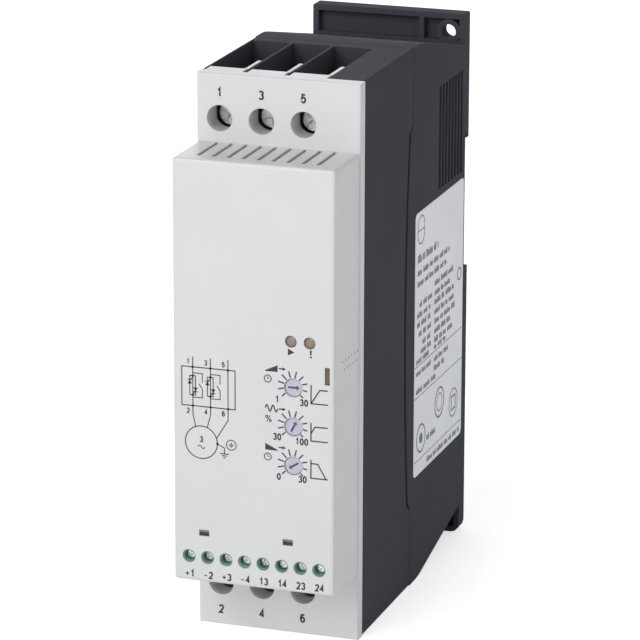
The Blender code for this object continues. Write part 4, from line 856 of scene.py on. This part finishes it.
def coding_strip():
    """Olive strip with a raised ridge along its right edge, in the upright slot."""
    left, right, low, high = STRIP
    ridge = right - RIDGE_WIDTH
    bm = bmesh.new()
    slanted_block(bm, (left, ridge), (low, high), (STRIP_FRONT, STRIP_FRONT), STRIP_BACK)
    fronts = [STRIP_FRONT - rise for rise in RIDGE_RISE]
    slanted_block(bm, (ridge, right), (low + RIDGE_START, high), fronts, STRIP_BACK)
    round_block_edges(bm, STRIP_EDGE)
    to_piece("coding_strip", bm, "olive_plastic", "housing")


def release_tongues():
    """A slanted olive tongue over a near-black pocket in each of the two release slots; the tongue's lighter
    olive is painted light, and the pocket's near black is painted shade.
    """
    width, height = TONGUE_SIZE
    low, middle, high = TONGUE_HEIGHT - height / 2, TONGUE_HEIGHT + TONGUE_SPLIT, TONGUE_HEIGHT + height / 2
    parts = (("tongue", (middle, high), TONGUE_FRONTS), ("pocket", (low, middle), POCKET_FRONTS))
    # the tongue gets painted light, the pocket painted shade
    for i, u in enumerate(TONGUES):
        for kind, heights, fronts in parts:
            bm = bmesh.new()
            slanted_block(bm, (u - width / 2, u + width / 2), heights, fronts, TONGUE_BACK)
            round_block_edges(bm, TONGUE_EDGE)
            to_piece(f"release_{kind}_{i + 1}", bm, f"{kind}_plastic", "housing")


# The latch's spring

SPRING_WIRE = 0.22      # radius
SPRING_TURNS = 7
SPRING_STEPS = 24       # of one turn
SPRING_SIDES = 10
SPRING_FLAT = 0.6       # of a turn lies nearly flat at each end
SPRING_FLAT_RISE = 2.1  # of both flat ends together, in wire radii


def spring_coil():
    """Round-wire spring in place of the plain one."""
    low, high = limits("latch_spring")
    radius = (high[0] - low[0]) / 2 - SPRING_WIRE
    middle = (low[1] + high[1]) / 2
    length = high[2] - low[2]
    count = SPRING_TURNS * SPRING_STEPS
    ends = SPRING_WIRE * SPRING_FLAT_RISE
    bm = bmesh.new()
    rings = []
    for i in range(count + 1):
        turned = i / SPRING_STEPS
        angle = 2 * math.pi * turned
        share = min(1.0, max(0.0, (turned - SPRING_FLAT) / (SPRING_TURNS - 2 * SPRING_FLAT)))
        first = min(turned, SPRING_FLAT) / SPRING_FLAT
        last = max(0.0, turned - SPRING_TURNS + SPRING_FLAT) / SPRING_FLAT
        flat = ends * (first + last) / 2
        height = low[2] + SPRING_WIRE + flat + share * (length - 2 * SPRING_WIRE - ends)
        radial = Vector((math.cos(angle), math.sin(angle), 0))
        centre = Vector((0, middle, height)) + radial * radius
        ring = []
        for side in range(SPRING_SIDES):
            way = 2 * math.pi * side / SPRING_SIDES
            place = centre + (radial * math.cos(way) + Vector((0, 0, 1)) * math.sin(way)) * SPRING_WIRE
            ring.append(bm.verts.new(place * MM))
        rings.append(ring)
    for ring, after in zip(rings, rings[1:]):
        for side in range(SPRING_SIDES):
            nearby = (side + 1) % SPRING_SIDES
            bm.faces.new((ring[side], ring[nearby], after[nearby], after[side]))
    bm.faces.new(list(reversed(rings[0])))
    bm.faces.new(rings[-1])
    bmesh.ops.recalc_face_normals(bm, faces=bm.faces[:])
    for face in bm.faces:
        face.smooth = len(face.verts) == 4
    coil = to_piece("spring_coil", bm, "plated_steel", "housing")
    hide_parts("latch_spring")
    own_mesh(coil)


# Rating label

LABEL_Y = (8.8, 53.9)
LABEL_Z = (30.2, 105.4)
LABEL_CORNER = 1.6
LABEL_MARGIN = 0.6
LABEL_SINK = 0.01                   # how far its print reaches into it
LABEL_LINES = (61.8, 52.8, 34.4)    # heights of the ruled lines
RULE_WIDTH = 0.22
LABEL_SEED = 7
LABEL_ROWS = (
    # left, right, height of the row, size
    (11.2, 30.4, 92.2, 2.3), (11.2, 41.0, 88.3, 1.7), (11.2, 38.0, 85.2, 1.7),
    (13.0, 24.5, 79.1, 1.7), (27.0, 44.5, 81.6, 1.7), (27.0, 43.5, 78.8, 1.7), (27.0, 45.5, 76.2, 1.7),
    (11.0, 23.0, 76.3, 1.7), (11.0, 24.0, 73.6, 1.7), (27.0, 45.0, 73.4, 1.7),
    (12.4, 24.0, 70.8, 1.7), (27.0, 47.0, 70.6, 1.7), (16.0, 24.0, 67.9, 1.7), (27.0, 42.0, 67.8, 1.7),
    (14.5, 24.0, 65.5, 1.7), (27.0, 44.0, 65.2, 1.7), (10.6, 24.0, 63.2, 1.5), (27.0, 39.0, 63.2, 1.5),
    (10.6, 24.0, 59.8, 1.6), (27.0, 40.0, 59.7, 1.6), (27.0, 37.0, 57.0, 1.6), (10.6, 28.8, 54.6, 1.6),
    (21.0, 52.0, 32.2, 1.6), (20.6, 29.0, 38.8, 1.8),
)
LABEL_RINGS = (
    # across, up, radius, line, sides
    (32.6, 45.6, 4.2, 0.55, 48), (32.6, 45.6, 2.5, 0.35, 40), (46.0, 41.6, 4.0, 0.35, 48),
    (15.4, 40.2, 3.9, 0.5, 48), (50.4, 78.2, 1.7, 0.45, 32),
)
LABEL_DISC = (15.4, 40.2, 1.5, 32)    # across, up, radius, sides
LABEL_SQUARE = (46.0, 41.6, 1.9)    # across, up, half its side
SQUARE_LINE = 0.5
LABEL_CAPSULE = ((11.0, 17.0), (96.2, 104.0))
CAPSULE_CORNER = 2.9
CAPSULE_LINE = 0.35
CAPSULE_BAR = 100.1                 # height of the line across it
CAPSULE_BAR_LINE = 0.3
# rows of small print: lengths of words, and widths, gaps and rises of their strokes
WORD_LENGTHS = (2.2, 6.0)
WORD_GAP = 1.0
STROKE_WIDTHS = (0.28, 0.5, 0.62)
STROKE_GAP = 0.26
STROKE_RISES = (1.0, 0.72, 0.72, 0.86)
SHORTEST_WORD = 1.0
SHORTEST_STROKE = 0.3


def rounded_corners(u, v, radius, steps):
    """Outline of a rectangle from u[0] to u[1] and v[0] to v[1], with round corners."""
    points = []
    middles = ((u[1] - radius, v[1] - radius), (u[0] + radius, v[1] - radius),
               (u[0] + radius, v[0] + radius), (u[1] - radius, v[0] + radius))
    for corner, (mu, mv) in enumerate(middles):
        for i in range(steps + 1):
            angle = (corner + i / steps) * math.pi / 2
            points.append((mu + radius * math.cos(angle), mv + radius * math.sin(angle)))
    return points


def rating_label():
    label = Print(LABEL_SIDE, LABEL_HEIGHT)
    label.outline(rounded_corners(LABEL_Y, LABEL_Z, LABEL_CORNER, 6))
    label.finish("rating_label", "label_film")


def small_print(mark, rng, start, stop, middle, height):
    """A row of word-long groups of bars, where the label has small print."""
    foot = middle - height / 2
    u = start
    while u < stop - SHORTEST_WORD:
        end = min(u + rng.uniform(*WORD_LENGTHS), stop)
        while u < end - SHORTEST_STROKE:
            stroke = rng.choice(STROKE_WIDTHS)
            rise = rng.choice(STROKE_RISES)
            mark.bar(u, min(u + stroke, end), foot, foot + height * rise)
            u += stroke + STROKE_GAP
        u = end + WORD_GAP


def label_print():
    """Rows of small bars, ruled lines and plain rings, where the label has its text and marks."""
    rng = random.Random(LABEL_SEED)
    marks = Print(LABEL_TOP, sink=LABEL_SINK)
    for height in LABEL_LINES:
        marks.line(((LABEL_Y[0] + LABEL_MARGIN, height), (LABEL_Y[1] - LABEL_MARGIN, height)), RULE_WIDTH)
    for row in LABEL_ROWS:
        small_print(marks, rng, *row)
    marks.line(rounded_corners(*LABEL_CAPSULE, CAPSULE_CORNER, 8), CAPSULE_LINE, closed=True)
    marks.line([(side, CAPSULE_BAR) for side in LABEL_CAPSULE[0]], CAPSULE_BAR_LINE)
    for ring in LABEL_RINGS:
        marks.ring(*ring)
    u, v, half = LABEL_SQUARE
    square = [(u + s * half, v + t * half) for s, t in ((-1, -1), (1, -1), (1, 1), (-1, 1))]
    marks.line(square, SQUARE_LINE, closed=True)
    marks.disc(*LABEL_DISC)
    marks.finish("label_print", "label_ink")


dial_scales()
dial_arrows()
ramp_graphs()
setting_symbols()
lamp_symbols()
wiring_diagram()
control_numbers()
power_numbers()
side_dots()
coding_strip()
release_tongues()
spring_coil()
rating_label()
label_print()


# Studio

FLOOR_HALF = 3.0                  # in metres
FLOOR_COLOUR = (0.93, 0.93, 0.93)
FLOOR_SHADES = (0.925, 0.935)
FLOOR_LIFT = 0.62                 # added to the floor's own brightness where it is seen
WORLD_STRENGTH = 0.36             # of the light from all round
# name, place and aim in millimetres, size in metres, power in watts
LAMPS = (
    ("key", (-430, -1130, 900), (0, 0, 80), 0.9, 8.0),
    ("low", (-150, -1250, 260), (0, 0, 40), 0.45, 2.1),
    ("fill", (1150, -400, 350), (0, 0, 80), 0.9, 1.4),
    ("back", (-350, 1150, 450), (0, 0, 80), 0.9, 2.6),
)


def seen_rays(tree):
    """1 for what the camera sees directly, in a mirror or through glass, and 0 for light."""
    rays = tree.nodes.new("ShaderNodeLightPath")
    seen = rays.outputs["Is Camera Ray"]
    for kind in ("Is Glossy Ray", "Is Transmission Ray"):
        either = tree.nodes.new("ShaderNodeMath")
        either.operation = "MAXIMUM"
        tree.links.new(seen, either.inputs[0])
        tree.links.new(rays.outputs[kind], either.inputs[1])
        seen = either.outputs[0]
    return seen


def floor_material():
    """Near-white floor that the camera and mirrors see as paper, and that keeps the shadow."""
    material, tree, shader = node_material("studio_floor", FLOOR_COLOUR, 0.9)
    stops = zip(NOISE_SPAN, [[shade] * 3 for shade in FLOOR_SHADES])
    colours = ramp(tree, noise(tree, object_place(tree), 3.0), stops)
    tree.links.new(colours, shader.inputs["Base Color"])
    lift = tree.nodes.new("ShaderNodeMapRange")
    lift.inputs["To Max"].default_value = FLOOR_LIFT
    tree.links.new(seen_rays(tree), lift.inputs["Value"])
    tree.links.new(lift.outputs["Result"], shader.inputs["Emission Strength"])
    shader.inputs["Emission Color"].default_value = (1.0, 1.0, 1.0, 1.0)
    shader.inputs["Specular IOR Level"].default_value = 0.0
    return material


def make_floor():
    bm = bmesh.new()
    corners = [(x, y) for x, y in ((-1, -1), (1, -1), (1, 1), (-1, 1))]
    bm.faces.new([bm.verts.new((x * FLOOR_HALF, y * FLOOR_HALF, 0.0)) for x, y in corners])
    mesh = bpy.data.meshes.new("studio_floor")
    bm.to_mesh(mesh)
    bm.free()
    mesh.materials.append(floor_material())
    floor = bpy.data.objects.new("studio_floor", mesh)
    bpy.context.scene.collection.objects.link(floor)


def make_world():
    """Soft light from all round, white to the camera and in reflections."""
    world = bpy.data.worlds.new("studio")
    world.use_nodes = True
    bpy.context.scene.world = world
    tree = world.node_tree
    background = tree.nodes["Background"]
    background.inputs["Color"].default_value = (1.0, 1.0, 1.0, 1.0)
    strength = tree.nodes.new("ShaderNodeMapRange")
    strength.inputs["To Min"].default_value = WORLD_STRENGTH
    strength.inputs["To Max"].default_value = 1.0
    tree.links.new(seen_rays(tree), strength.inputs["Value"])
    tree.links.new(strength.outputs["Result"], background.inputs["Strength"])


def make_lamp(name, place, aim, size, power):
    light = bpy.data.lights.new(name, "AREA")
    light.shape = "SQUARE"
    light.size = size
    light.energy = power
    lamp = bpy.data.objects.new(name, light)
    lamp.location = Vector(place) * MM
    lamp.rotation_euler = (Vector(aim) - Vector(place)).to_track_quat("-Z", "Y").to_euler()
    bpy.context.scene.collection.objects.link(lamp)


def make_camera():
    data = bpy.data.cameras.new("camera")
    data.sensor_fit = "HORIZONTAL"
    data.sensor_width = CAMERA_SENSOR
    data.lens = CAMERA_LENS
    data.clip_start, data.clip_end = CAMERA_CLIP
    camera = bpy.data.objects.new("camera", data)
    turn = Matrix.Rotation(math.radians(CAMERA_YAW), 4, "Z")
    tilt = Matrix.Rotation(math.radians(90 - CAMERA_PITCH), 4, "X")
    roll = Matrix.Rotation(math.radians(CAMERA_ROLL), 4, "Z")
    camera.matrix_world = Matrix.Translation(Vector(CAMERA_PLACE) * MM) @ turn @ tilt @ roll
    bpy.context.scene.collection.objects.link(camera)
    bpy.context.scene.camera = camera


make_floor()
make_world()
for lamp in LAMPS:
    make_lamp(*lamp)
make_camera()
bpy.context.scene.view_settings.view_transform = "Standard"
